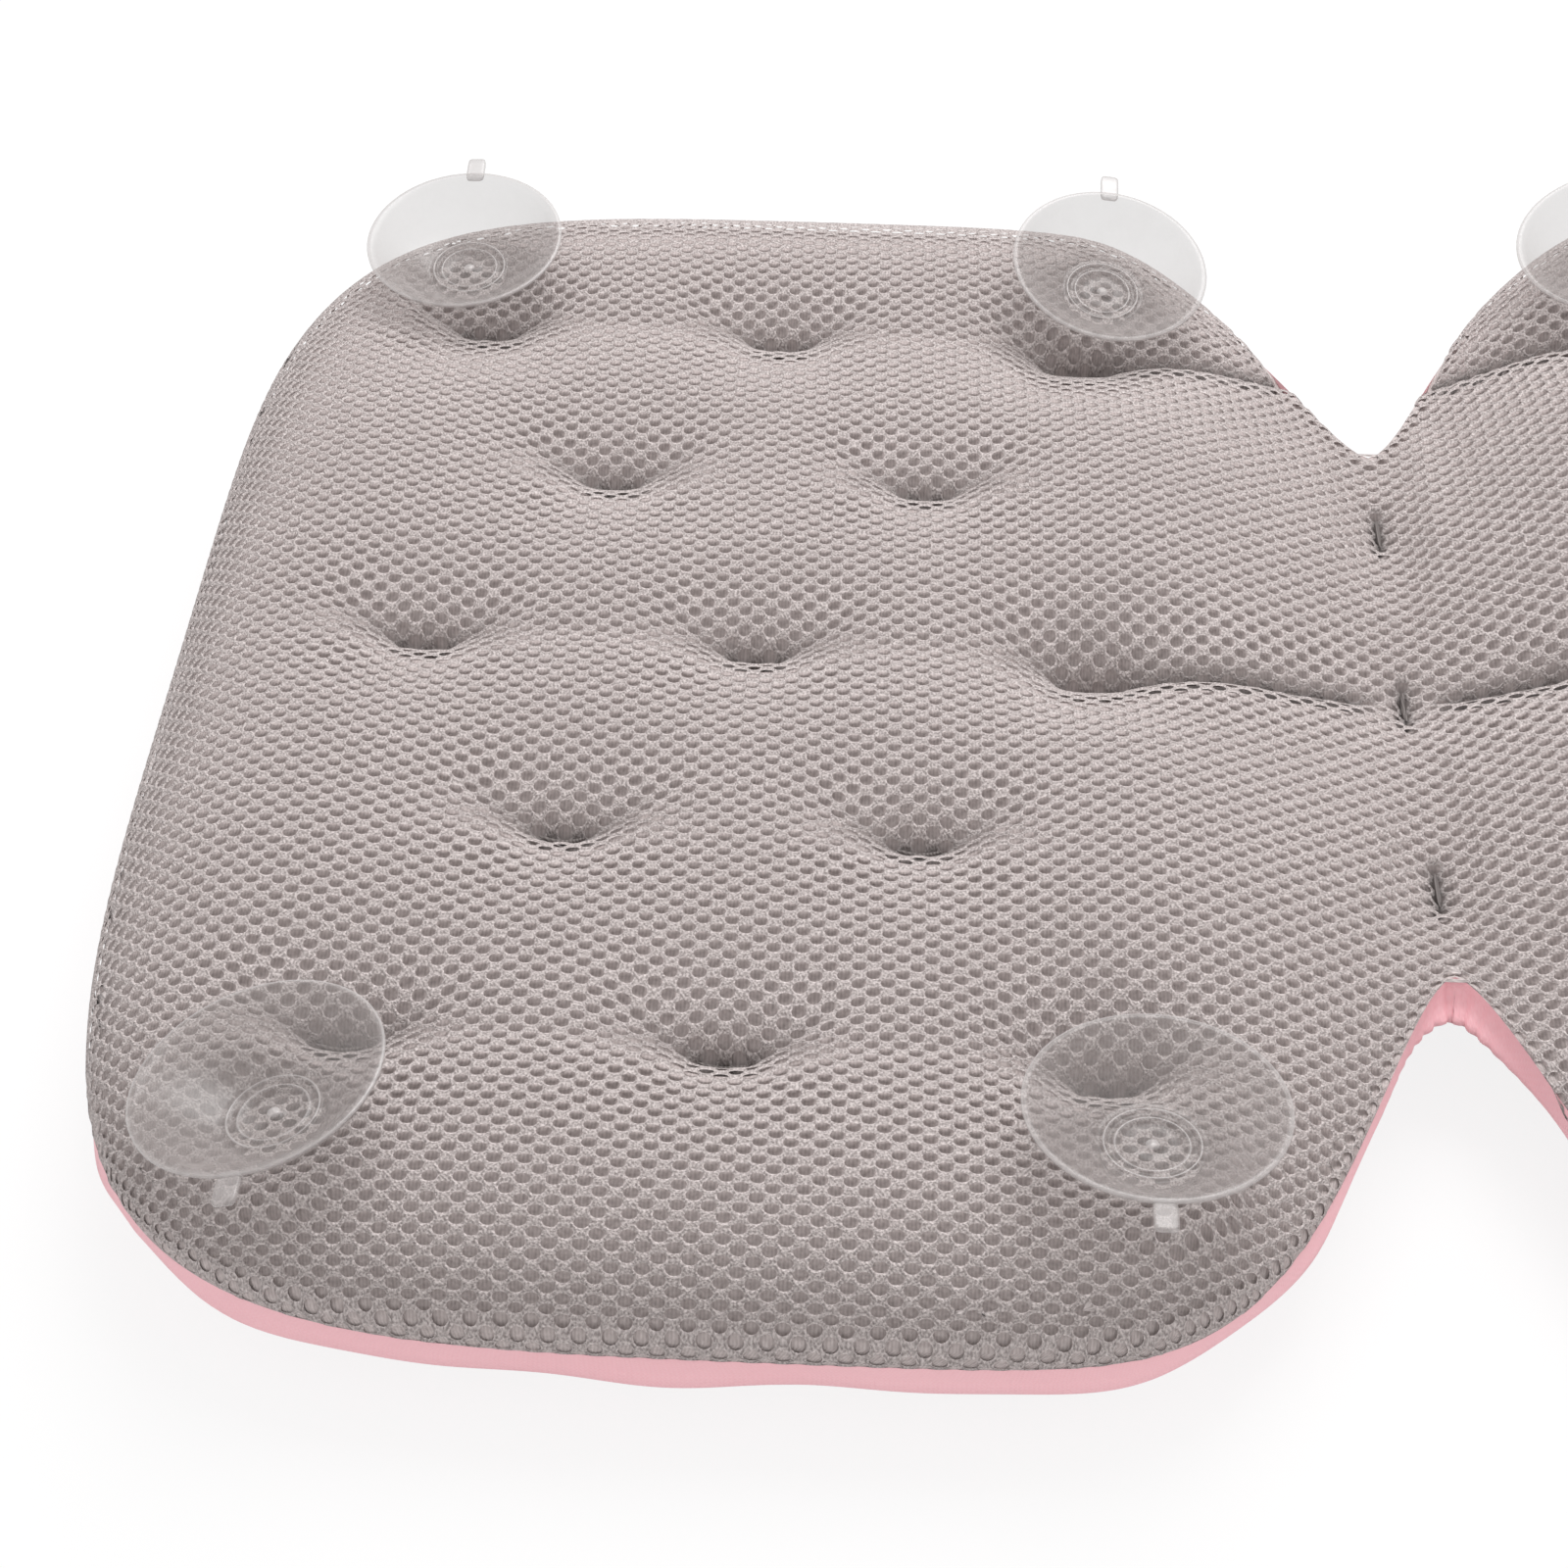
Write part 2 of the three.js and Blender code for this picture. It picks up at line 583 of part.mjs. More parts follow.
// Waist: a rear and a front web that join the lobes, with a row of tacks along the fold
const webColumns = [-WEB_HALF_LENGTH, 0, WEB_HALF_LENGTH];
const webGrid = webColumns.map((x) => {
  return rowValues.map((row) => [x, row / LOBE_HALF_WIDTH * halfWidth(Math.abs(x))]);
});
const foldColumn = webGrid[webColumns.indexOf(0)];
for (const [, tackY] of waistTacks) {
  const nearest = foldColumn.reduce((a, b) => Math.abs(a[1] - tackY) < Math.abs(b[1] - tackY) ? a : b);
  nearest[1] = tackY;
}
const webFace = (x, face) => (x < 0 ? lobes[0] : lobes[1])[face];
const webRear = mapGrid(webGrid, (x, y) => seamZ + standOut(webFace(x, 'rear'), Math.abs(x), y));
const webFront = mapGrid(webGrid, (x, y) => seamZ - standOut(webFace(x, 'front'), Math.abs(x), y));
const webTop = mapGrid(webGrid, () => seamZ + seamGap);
const webBottom = mapGrid(webGrid, () => seamZ - seamGap);
const tackHoles = tieHoles(waistTacks, 1);
const rearWeb = toSolid(closedSheet(webGrid, webTop, webRear));
const frontWeb = toSolid(closedSheet(webGrid, webFront, webBottom));
addPiece('rear_waist_web', toGeometry(cutAll(rearWeb, tackHoles)), 'mesh');
addPiece('front_waist_web', toGeometry(cutAll(frontWeb, tackHoles)), 'cover');
waistTacks.forEach(([x, y], k) => {
  const low = seamZ - standOut(lobes[0].front, x, y);
  const high = seamZ + standOut(lobes[0].rear, x, y);
  addPiece(`waist_tack_${k + 1}`, tie(low, high), 'thread').position.set(x, y, 0);
});

export default pillow;
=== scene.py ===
import json
import math

import bpy
import numpy as np
from mathutils import Matrix, Vector


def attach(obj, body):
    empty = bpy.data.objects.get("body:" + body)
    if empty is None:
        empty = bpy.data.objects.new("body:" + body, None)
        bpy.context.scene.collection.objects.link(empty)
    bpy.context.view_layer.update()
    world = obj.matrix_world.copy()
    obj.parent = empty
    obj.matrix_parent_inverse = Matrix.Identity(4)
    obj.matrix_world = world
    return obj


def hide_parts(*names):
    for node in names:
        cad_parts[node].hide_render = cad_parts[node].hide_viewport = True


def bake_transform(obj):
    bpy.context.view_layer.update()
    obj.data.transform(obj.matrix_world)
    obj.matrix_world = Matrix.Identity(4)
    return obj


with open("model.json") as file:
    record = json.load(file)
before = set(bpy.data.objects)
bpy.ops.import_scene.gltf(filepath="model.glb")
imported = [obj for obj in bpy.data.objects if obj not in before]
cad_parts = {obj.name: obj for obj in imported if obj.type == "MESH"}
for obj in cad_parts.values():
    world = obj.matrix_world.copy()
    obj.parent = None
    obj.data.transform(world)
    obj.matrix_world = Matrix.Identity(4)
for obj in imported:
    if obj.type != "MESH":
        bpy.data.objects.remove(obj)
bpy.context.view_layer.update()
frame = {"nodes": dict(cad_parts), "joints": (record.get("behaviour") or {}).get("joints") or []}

# Sizes of the pillow in millimetres; meshes are written in metres
MM = 0.001
LOBE_LENGTH = 282.0
LOBE_HALF_WIDTH = 182.0
LOBE_MIDDLE = 0.6 * LOBE_LENGTH
WAIST_HALF_WIDTH = 87.0
SHOULDER_REACH = 32.0
SHOULDER_POWER = 1.55
END_ROUND_LENGTH = 162.0
END_ROUND_POWER = 4.5
END_CORNER_Y = 158.0
SEAM_Z = 22.6
BACK_CROWN = 29.0
NECK_CROWN = 44.0
BACK_TUFT = 16.0
NECK_TUFT = 31.0
INNER_TUFT_DROP = 8.0
FRONT_CROWN = 22.0
FRONT_TUFT = 7.0
WAIST_HEIGHT = 11.0
REAR_REACH = 48.0
FRONT_REACH = 20.0
WAIST_RAMP = 70.0
FIRST_TUFT_COLUMN = 72.0
TUFT_COLUMN_STEP = 38.0
TUFT_ROW_STEP = 60.0

# Form of the stuffed covers
DIMPLE_RADIUS = 20.0
DIMPLE_POWER = 0.95
DIMPLE_HOLD = 34.0
STITCH_HALF_LENGTH = 5.0
CREASE_RADIUS = 7.0
CREASE_DEPTH = 0.3
VALLEY_RADIUS = 9.0
VALLEY_DEPTH = 0.08
WAIST_MIX = 15.0
START_SHARE = 0.93
SEAT_RADIUS = 11.5
SEAT_BLEND = 20.0
REAR_FULLNESS = 2.2
FRONT_FULLNESS = 1.8
SEAM_RISE = 8.0
SEAM_RISE_REACH = 34.0
FLOOR_GAP = 0.2

# Stuffing: the room under the cups before and after it, and how far each cover may swell
SEAT_ROOM = 3.0
SWOLLEN_ROOM = 2.4
REAR_SWELL = 7.0
FRONT_SWELL = 4.0
HELD_RADIUS = 3.2
SWELL_FRAMES = 20
CLOTH_SETTINGS = {
    "quality": 6,
    "mass": 0.3,
    "tension_stiffness": 15,
    "compression_stiffness": 15,
    "shear_stiffness": 5,
    "bending_stiffness": 0.5,
    "use_pressure": True,
    "uniform_pressure_force": 4.0,
    "vertex_group_mass": "held",
}

# Narrow slits at the stitches and along the creases, with painted shade inside them
SLIT_DEPTH = 2.6
SLIT_WIDTH = 2.2
SLIT_CURVE = 0.02
SLIT_POWER = 1.3
SLIT_HALF_LENGTH = 11.0
FOLD_DEPTH = 2.2
FOLD_WIDTH = 4.5
FOLD_REACH = 28.0
PAINTED_SHADE_WIDTH = 1.8
FOLD_PAINTED_SHADE = 0.4
TACK_DEPTH = 2.0
TACK_FADE = 6.0
CREASE_SLIT_DEPTH = 2.8
CREASE_SLIT_WIDTH = 2.2
CREASE_FADE = 14.0
GROUND_SLIT = 1.15
THREAD_SLIT = 0.85

# Mesh drawn together beside the tufts and along the creases
GATHERED_SHARE = 0.5
GATHERED_ASIDE = 15.0
GATHERED_LENGTH = 9.0
GATHERED_WIDTH = 10.0
GATHERED_RAMP = 20.0
GATHERED_STOP = 30.0

# Bulge, gathers and waves of the front cover's side; a band rises, stays to a depth and fades
SIDE_BULGE = 2.0
SIDE_BAND = (1.5, 5.0, 14.0)
GATHER_DEPTH = 0.5
GATHER_REACH = 18.0
GATHER_PITCH = 4.5
GATHER_BAND = (0.8, 1.0, 5.0)
NOTCH_FILL = 5.0
NOTCH_FILL_REACH = 9.0
WAVE_DEPTH = 1.1
WAVE_LONG = 71.0
WAVE_LONG_SHARE = 0.6
WAVE_LONG_START = 1.0
WAVE_SHORT = 43.0

# Knitted mesh: staggered oval holes in a net of yarn over a darker ground
HOLE_PITCH = 5.8
HOLE_ROW = 2.15
HOLE_HALF_LENGTH = 1.55
HOLE_HALF_WIDTH = 1.17
HOLE_STEPS = 12
YARN_RISE = 0.75
YARN_SIDE = 0.3
GROUND_DEPTH = 1.5
HEM_BLEND = 3.0
NET_MARGIN = 40.0
NET_OVERHANG = 0.6

# Thread of the stitches
THREAD_RADIUS = 0.55
THREAD_RISE = 0.9
THREAD_TAPER = 0.98
THREAD_STEPS = 9
THREAD_SIDES = 8

# Suction cup, measured along its axis from the seat
CUP_RADIUS = 25.0
CUP_HUB = 9.7
CUP_RIM = 15.0
CUP_FLOOR = 4.5
CUP_WALL = 1.2
CUP_STEPS = 72
HUB_MARGIN = 1.0
BOWL_FOOT = 2.7
BOWL_TOP = 14.1
BOWL_STRAIGHT = 0.6
BOWL_MARGIN = 2.0
BOWL_STEPS = 14
TAB_MIDDLE = (27.4, 0.0, 13.9)
TAB_HALF_SIZE = (3.9, 2.3, 0.7)
TAB_POWER = 0.35
# The whole tab takes half the painted highlight and haze of a raised line
TAB_LINE = 0.5
TAB_STEPS = 40
TAB_RINGS = 11

# Turned profile of a cup: radius, height and share of a raised line, which gets a painted highlight
CUP_NECK = [[0, -7, 0], [3.4, -7, 0], [4, -6.4, 0], [4, 0.3, 0]]
CUP_BOSS = [[9.1, 0.3, 0], [9.6, 0.7, 0], [9.7, 1.6, 0]]
ROUNDED_RIM = [[25.15, 14.4, 0.3], [25.15, 14.75, 1], [24.95, 14.97, 1], [24.4, 15.0, 0.4]]
OUTER_RING = [[9.5, 4.9, 0.2], [9.25, 5.1, 1], [9.0, 5.0, 0.7], [8.8, 4.5, 0]]
INNER_RING = [[7.5, 4.4, 0], [7.3, 4.7, 0.6], [7.1, 4.78, 0.9], [6.85, 4.68, 0.5], [6.6, 4.35, 0]]
MIDDLE_DOT = [[4.0, 4.3, 0], [1.5, 4.3, 0.1], [1.25, 4.7, 1], [0.8, 5.0, 1], [0, 5.1, 1]]

# Grids: columns along the length, rows across, and the steps of the outline and the rounded edge
COLUMNS = 160
ROWS = 110
FINER = 2
FRONT_COLUMNS = 400
OUTLINE_STEPS = 90
OUTLINE_POWER = 1.5
CLOTH_STEPS = 160
CLOTH_CROWNS = np.linspace(4, 50, 24)
POINTS_AT_ONCE = 8000
SHARE_REPEATS = 25
ON_EDGE = 0.05
SMALL = 1e-6
TINY = 1e-9


def smooth(value):
    """Smooth step of a share: 3 t squared less 2 t cubed, held between 0 and 1."""
    t = np.clip(value, 0, 1)
    return t * t * (3 - 2 * t)


def half_width(u):
    """Half width at distance u from the waist: an exponential shoulder, then a superellipse at the end."""
    shoulder = np.exp(-(u / SHOULDER_REACH) ** SHOULDER_POWER)
    side = LOBE_HALF_WIDTH - (LOBE_HALF_WIDTH - WAIST_HALF_WIDTH) * shoulder
    past = np.clip((u - (LOBE_LENGTH - END_ROUND_LENGTH)) / END_ROUND_LENGTH, 0, 1)
    return side * (1 - past ** END_ROUND_POWER) ** (1 / END_ROUND_POWER)


def end_reach(y):
    """Distance from the waist of the rounded end at width y, on the same superellipse."""
    share = np.clip(np.abs(y) / LOBE_HALF_WIDTH, 0, 1) ** END_ROUND_POWER
    return LOBE_LENGTH - END_ROUND_LENGTH + END_ROUND_LENGTH * (1 - share) ** (1 / END_ROUND_POWER)


CORNER_REACH = float(end_reach(np.array(END_CORNER_Y)))


def outline_quarter():
    """Outline of the quarter with x and y over 0, from the waist's notch, where its points crowd by a power
    of their share, round to the end's middle."""
    u = CORNER_REACH * np.linspace(0, 1, OUTLINE_STEPS) ** OUTLINE_POWER
    y = END_CORNER_Y * np.linspace(1, 0, OUTLINE_STEPS)[1:]
    return np.vstack([np.stack([u, half_width(u)], 1), np.stack([end_reach(y), y], 1)])


def nearest_edge(points):
    """Signed distance of plan points to the outline, positive inside, with the nearest edge point, the unit
    direction out through it and its length along the edge from the waist. Each point is folded into one
    quarter and set against every segment."""
    line = outline_quarter()
    start, step = line[:-1], np.diff(line, axis=0)
    square = (step ** 2).sum(1)
    passed = np.concatenate([[0], np.cumsum(np.sqrt(square))])
    folded = np.abs(points)
    distance = np.empty(len(points))
    length = np.empty(len(points))
    foot = np.empty_like(folded)
    for part in np.array_split(np.arange(len(points)), max(1, len(points) // POINTS_AT_ONCE)):
        rel = folded[part, None] - start[None]
        t = np.clip((rel * step).sum(2) / square, 0, 1)
        gap = rel - t[..., None] * step
        best = (gap ** 2).sum(2).argmin(1)
        rows = np.arange(len(part))
        foot[part] = start[best] + t[rows, best, None] * step[best]
        length[part] = passed[best] + t[rows, best] * np.sqrt(square[best])
        distance[part] = np.sqrt((gap[rows, best] ** 2).sum(1))
    within = (folded[:, 1] < half_width(folded[:, 0])) & (folded[:, 0] < end_reach(folded[:, 1]))
    sign = np.where(within, 1.0, -1.0)
    away = (foot - folded) * sign[:, None]
    size = np.linalg.norm(away, axis=1, keepdims=True)
    ahead = foot - np.array([LOBE_MIDDLE, 0])
    ahead = ahead / np.linalg.norm(ahead, axis=1, keepdims=True)
    out = np.where(size > ON_EDGE, away / np.maximum(size, TINY), ahead)
    turn = np.where(points < 0, -1.0, 1.0)
    return distance * sign, foot * turn, out * turn, length


# Stitches, creases and slits
def to_segment(x, y, x0, y0, x1, y1):
    """Distance of plan points to the segment between two points."""
    square = (x1 - x0) ** 2 + (y1 - y0) ** 2
    t = np.clip(((x - x0) * (x1 - x0) + (y - y0) * (y1 - y0)) / square, 0, 1)
    return np.hypot(x - x0 - t * (x1 - x0), y - y0 - t * (y1 - y0))


def tuft_places(side):
    """Plan places of one lobe's tufts: three columns of three, and staggered columns of two between."""
    places = []
    for column in range(5):
        rows = (-1, 1) if column % 2 else (-2, 0, 2)
        x = side * (FIRST_TUFT_COLUMN + column * TUFT_COLUMN_STEP)
        places += [(x, row * TUFT_ROW_STEP) for row in rows]
    return places


TUFTS = {"back": tuft_places(-1), "neck": tuft_places(1)}
ALL_TUFTS = TUFTS["back"] + TUFTS["neck"]
TACKS = [(0.0, row * TUFT_ROW_STEP) for row in (-1, 0, 1)]
CREASE_ROWS = {-1: (0, 2), 1: (-2, 0, 2)}
CREASE_LINES = [(side, row * TUFT_ROW_STEP) for side, rows in CREASE_ROWS.items() for row in rows]


def tuft_distance(x, y, tx, ty):
    """Distance of plan points to a tuft's stitch, a short bar along X."""
    return to_segment(x, y, tx - STITCH_HALF_LENGTH, ty, tx + STITCH_HALF_LENGTH, ty)


def tack_distance(x, y, tx, ty):
    """Distance of plan points to a tack's stitch, a short bar along Y."""
    return to_segment(x, y, tx, ty - STITCH_HALF_LENGTH, tx, ty + STITCH_HALF_LENGTH)


def crease_distance(x, y, side, ty):
    """Distance of plan points to a crease, from the waist to an inner tuft."""
    return to_segment(x, y, 0.0, ty, side * FIRST_TUFT_COLUMN, ty)


def stitch_distance(x, y):
    """Distance of plan points to the nearest stitch."""
    bars = [tuft_distance(x, y, *place) for place in ALL_TUFTS]
    bars += [tack_distance(x, y, *place) for place in TACKS]
    return np.minimum.reduce(bars)


def edge_round(edge, rear):
    """Share of the full height at a distance from the seam: a quarter of a superellipse."""
    reach, power = (REAR_REACH, REAR_FULLNESS) if rear else (FRONT_REACH, FRONT_FULLNESS)
    return (1 - (1 - np.clip(edge / reach, 0, 1)) ** power) ** (1 / power)


def seam_height(x, edge, rear):
    """Height of the seam's level: it rises at the waist's notches and is level away from the edge, sooner
    on the front cover, which drops steeply there."""
    rise = SEAM_RISE * np.exp(-(x / SEAM_RISE_REACH) ** 2)
    return SEAM_Z + rise * (1 - edge_round(edge, rear)) ** (1 if rear else 2)


def stand_out(x, y, edge, rear):
    """How far a cover stands out from the seam: a rounded edge times a ramp up from the waist, drawn in
    by a dimple at each stitch, sharp creases from the inner tufts to the waist and faint valleys between."""
    neck = smooth((x + WAIST_MIX) / (2 * WAIST_MIX))
    crown = BACK_CROWN + (NECK_CROWN - BACK_CROWN) * neck if rear else FRONT_CROWN
    tuft = BACK_TUFT + (NECK_TUFT - BACK_TUFT) * neck if rear else FRONT_TUFT
    height = WAIST_HEIGHT + (crown - WAIST_HEIGHT) * smooth(np.abs(x) / WAIST_RAMP)
    pull = np.ones_like(x)
    draw = 1 - tuft / crown
    for tx, ty in ALL_TUFTS:
        dimple = np.exp(-(tuft_distance(x, y, tx, ty) / DIMPLE_RADIUS) ** DIMPLE_POWER)
        deeper = INNER_TUFT_DROP / crown if rear and abs(tx) == FIRST_TUFT_COLUMN else 0.0
        pull *= 1 - (draw + deeper) * dimple
    for place in TACKS:
        pull *= 1 - draw * np.exp(-(tack_distance(x, y, *place) / DIMPLE_RADIUS) ** DIMPLE_POWER)
    for line in CREASE_LINES if rear else ():
        pull *= 1 - CREASE_DEPTH * np.exp(-crease_distance(x, y, *line) / CREASE_RADIUS)
    for side in (-1, 1):
        first, last = side * FIRST_TUFT_COLUMN, side * (FIRST_TUFT_COLUMN + 4 * TUFT_COLUMN_STEP)
        for row in (-2, 0, 2):
            ty = row * TUFT_ROW_STEP
            pull *= 1 - VALLEY_DEPTH * np.exp(-to_segment(x, y, first, ty, last, ty) / VALLEY_RADIUS)
    return height * edge_round(edge, rear) * pull


def slits(points, share):
    """Narrow slits sunk into the rear cover by a share of their depth: at each tuft a short bar bowed away at
    its ends, drawn out into a softer fold on both sides, at each tack a bar along the waist, and a fine line
    along each crease. Gives the moved points, and how far each lies in a slit, from 0 to 1, as a share of
    painted shade."""
    x, y = points[..., 0], points[..., 1]
    sunk = np.zeros_like(x)
    # Share of painted shade: the slits, folds, tacks and creases are darkened in the colour
    pinch = np.zeros_like(x)
    for tx, ty in ALL_TUFTS:
        along = x - tx
        across = np.abs(y - ty - SLIT_CURVE * along ** 2)
        within = 1 - smooth(np.abs(along) / SLIT_HALF_LENGTH)
        beside = 1 - smooth(np.abs(along) / FOLD_REACH)
        bar = within * np.exp(-(across / SLIT_WIDTH) ** SLIT_POWER)
        fold = beside * np.exp(-(across / FOLD_WIDTH) ** SLIT_POWER)
        sunk += SLIT_DEPTH * bar + FOLD_DEPTH * fold
        shade = np.exp(-(across / PAINTED_SHADE_WIDTH) ** 2)
        pinch = np.maximum(pinch, np.maximum(np.sqrt(within), FOLD_PAINTED_SHADE * beside) * shade)
    for tx, ty in TACKS:
        within = 1 - smooth((np.abs(y - ty) - STITCH_HALF_LENGTH) / TACK_FADE)
        bar = within * np.exp(-(np.abs(x - tx) / SLIT_WIDTH) ** SLIT_POWER)
        sunk = np.maximum(sunk, TACK_DEPTH * bar)
        pinch = np.maximum(pinch, bar ** 2)
    for line in CREASE_LINES:
        across = crease_distance(x, y, *line)
        bar = smooth(np.abs(x) / CREASE_FADE) * np.exp(-(across / CREASE_SLIT_WIDTH) ** SLIT_POWER)
        sunk = np.maximum(sunk, CREASE_SLIT_DEPTH * bar)
        pinch = np.maximum(pinch, bar ** 2)
    moved = points.copy()
    moved[..., 2] -= share * sunk
    return moved, pinch


def gathered(plan):
    """Draws the mesh together across the slits: beside each tuft and along each crease, places move towards
    its line by a share that fades as a bell with the distance."""
    x, y = plan[:, 0], plan[:, 1]
    shift = np.zeros_like(y)
    for tx, ty in ALL_TUFTS:
        across = y - ty
        beside = np.exp(-((np.abs(x - tx) - GATHERED_ASIDE) / GATHERED_LENGTH) ** 2)
        shift -= GATHERED_SHARE * across * beside * np.exp(-(across / GATHERED_WIDTH) ** 2)
    for side, ty in CREASE_LINES:
        across = y - ty
        u = side * x
        stop = smooth((u - FIRST_TUFT_COLUMN + GATHERED_STOP) / GATHERED_RAMP)
        on_line = smooth(u / GATHERED_RAMP) * (1 - stop)
        shift -= GATHERED_SHARE * across * on_line * np.exp(-(across / GATHERED_WIDTH) ** 2)
    return np.stack([x, y + shift], 1)


# Grids of the covers
def graded(count):
    """Shares from -1 to 1 that crowd towards both ends: t times (1.25 less a quarter of t squared)."""
    t = np.linspace(-1, 1, count + 1)
    return t * (1.25 - 0.25 * t * t)


def crowded_waist(count):
    """Shares from -1 to 1 that crowd towards the waist: 0.35 of t and 0.65 of its power of 2.2."""
    t = np.linspace(-1, 1, count + 1)
    return np.sign(t) * (0.35 * np.abs(t) + 0.65 * np.abs(t) ** 2.2)


GRID_ALONG = graded(COLUMNS)
GRID_ACROSS = graded(ROWS)


def plan_grid(columns, rows):
    """Plan places of a grid whose edges follow the outline: each row runs from end to end past the waist."""
    along, across = np.meshgrid(columns, rows, indexing="ij")
    x = along * end_reach(across * END_CORNER_Y)
    y = across * half_width(np.abs(along) * CORNER_REACH)
    return x, y


def grid_shares(x, y):
    """Shares along and across of plan places: the grid's own formula, turned round by repeated steps."""
    across = np.clip(y / np.maximum(half_width(np.abs(x)), SMALL), -1, 1)
    along = x / LOBE_LENGTH
    for _ in range(SHARE_REPEATS):
        along = np.clip(x / end_reach(across * END_CORNER_Y), -1, 1)
        across = np.clip(y / np.maximum(half_width(np.abs(along) * CORNER_REACH), SMALL), -1, 1)
    return along, across


def curve_weights(t):
    """Four Catmull-Rom weights for a fraction of a step on a grid line."""
    return (
        0.5 * (-t + 2 * t ** 2 - t ** 3),
        0.5 * (2 - 5 * t ** 2 + 3 * t ** 3),
        0.5 * (t + 4 * t ** 2 - 3 * t ** 3),
        0.5 * (t ** 3 - t ** 2),
    )


def sample(table, along, across):
    """Values of a grid table at shares along and across: Catmull-Rom curves both ways."""
    a = np.interp(along, GRID_ALONG, np.arange(COLUMNS + 1))
    b = np.interp(across, GRID_ACROSS, np.arange(ROWS + 1))
    low_a = np.floor(np.minimum(a, COLUMNS - SMALL)).astype(int)
    low_b = np.floor(np.minimum(b, ROWS - SMALL)).astype(int)
    total = 0.0
    for k, weight_a in enumerate(curve_weights(a - low_a)):
        i = np.clip(low_a + k - 1, 0, COLUMNS)
        for m, weight_b in enumerate(curve_weights(b - low_b)):
            j = np.clip(low_b + m - 1, 0, ROWS)
            total = total + (weight_a * weight_b)[..., None] * table[i, j]
    return total


def surface_normals(points):
    """Unit normals of a grid surface: the cross product of its steps along and across, upwards."""
    normal = np.cross(np.gradient(points, axis=0), np.gradient(points, axis=1))
    return normal / np.maximum(np.linalg.norm(normal, axis=2, keepdims=True), TINY)


def grid_faces(columns, rows, upwards=True):
    """Quads of a grid of points, counted along first, facing up or down."""
    i, j = np.meshgrid(np.arange(columns - 1), np.arange(rows - 1), indexing="ij")
    a = (i * rows + j).ravel()
    quads = np.stack([a, a + rows, a + rows + 1, a + 1], 1)
    return quads if upwards else quads[:, ::-1]


def ring_faces(rings, sides):
    """Quads between each ring of points and the next, round the whole ring."""
    k, m = np.meshgrid(np.arange(rings - 1), np.arange(sides), indexing="ij")
    a, b = (k * sides + m).ravel(), (k * sides + (m + 1) % sides).ravel()
    return np.stack([a, b, b + sides, a + sides], 1)


# Flat cloth places are kept as a UV map in tenths of a metre
CLOTH_UNIT = 100.0


def mesh_piece(name, points, faces, material, fabric=None, **marks):
    """A new object from points in millimetres and faces, smooth shaded, with the flat cloth's places as UV
    and named marks, one value for each point."""
    mesh = bpy.data.meshes.new(name)
    mesh.from_pydata((points.reshape(-1, 3) * MM).tolist(), [], faces.tolist())
    mesh.polygons.foreach_set("use_smooth", np.ones(len(mesh.polygons), bool))
    if fabric is not None:
        places = fabric.reshape(-1, 2)[faces.ravel()] / CLOTH_UNIT
        mesh.uv_layers.new(name="fabric").data.foreach_set("uv", places.astype(np.float32).ravel())
    for mark, values in marks.items():
        layer = mesh.attributes.new(mark, "FLOAT", "POINT")
        layer.data.foreach_set("value", values.astype(np.float32).ravel())
    mesh.update()
    piece = bpy.data.objects.new(name, mesh)
    bpy.context.scene.collection.objects.link(piece)
    if material is not None:
        mesh.materials.append(material)
    return piece


# Seats of the cups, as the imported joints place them
def cup_frames():
    """Turns each cup's joint into its seat in millimetres and a rotation whose Z is the axis, X the tab."""
    found = {}
    for joint in frame["joints"]:
        if joint["name"].startswith("cup_spin_"):
            axis = Vector(joint["axis"]).normalized()
            lean = Vector((0, 0, 1)).rotation_difference(axis).to_matrix()
            seat = np.array(joint["pos_m"]) / MM
            outwards = math.copysign(1.0, seat[1])
            turn = lean @ Matrix.Rotation(outwards * math.pi / 2, 3, "Z")
            found[joint["name"].removeprefix("cup_spin_")] = (seat, np.array(turn))
    return found


CUPS = cup_frames()


def bowl_curve(share):
    """Rise of a bowl's wall at a share of its width: a straight part and a part with the square."""
    return BOWL_STRAIGHT * share + (1 - BOWL_STRAIGHT) * share ** 2


def bowl_height(radius):
    """Outside of a cup's bowl over its seat, from the boss to the rim."""
    share = np.clip((radius - CUP_HUB) / (CUP_RADIUS - CUP_HUB), 0, 1)
    return BOWL_FOOT + (BOWL_TOP - BOWL_FOOT) * bowl_curve(share)


def seat_cups(points, room):
    """Lays the rear cover on each cup's seat, and keeps it under the bowl by the room given."""
    points = points.copy()
    for seat, turn in CUPS.values():
        local = (points - seat) @ turn
        radius = np.hypot(local[..., 0], local[..., 1])
        share = 1 - smooth((radius - SEAT_RADIUS) / (SEAT_BLEND - SEAT_RADIUS))
        near = (radius < 2 * CUP_RADIUS) & (np.abs(local[..., 2]) < 2 * CUP_RADIUS)
        height = np.where(near, local[..., 2] * (1 - share), local[..., 2])
        under = np.where(radius < CUP_HUB + HUB_MARGIN, 0.0, bowl_height(radius) - room)
        below = near & (radius < CUP_RADIUS + BOWL_MARGIN)
        height = np.where(below, np.minimum(height, under), height)
        points += (height - local[..., 2])[..., None] * turn[:, 2]
    return points


def near_cup(x, y):
    """Plan places within a cup's seat."""
    found = np.zeros_like(x, bool)
    for seat, _ in CUPS.values():
        found |= np.hypot(x - seat[0], y - seat[1]) < SEAT_RADIUS
    return found


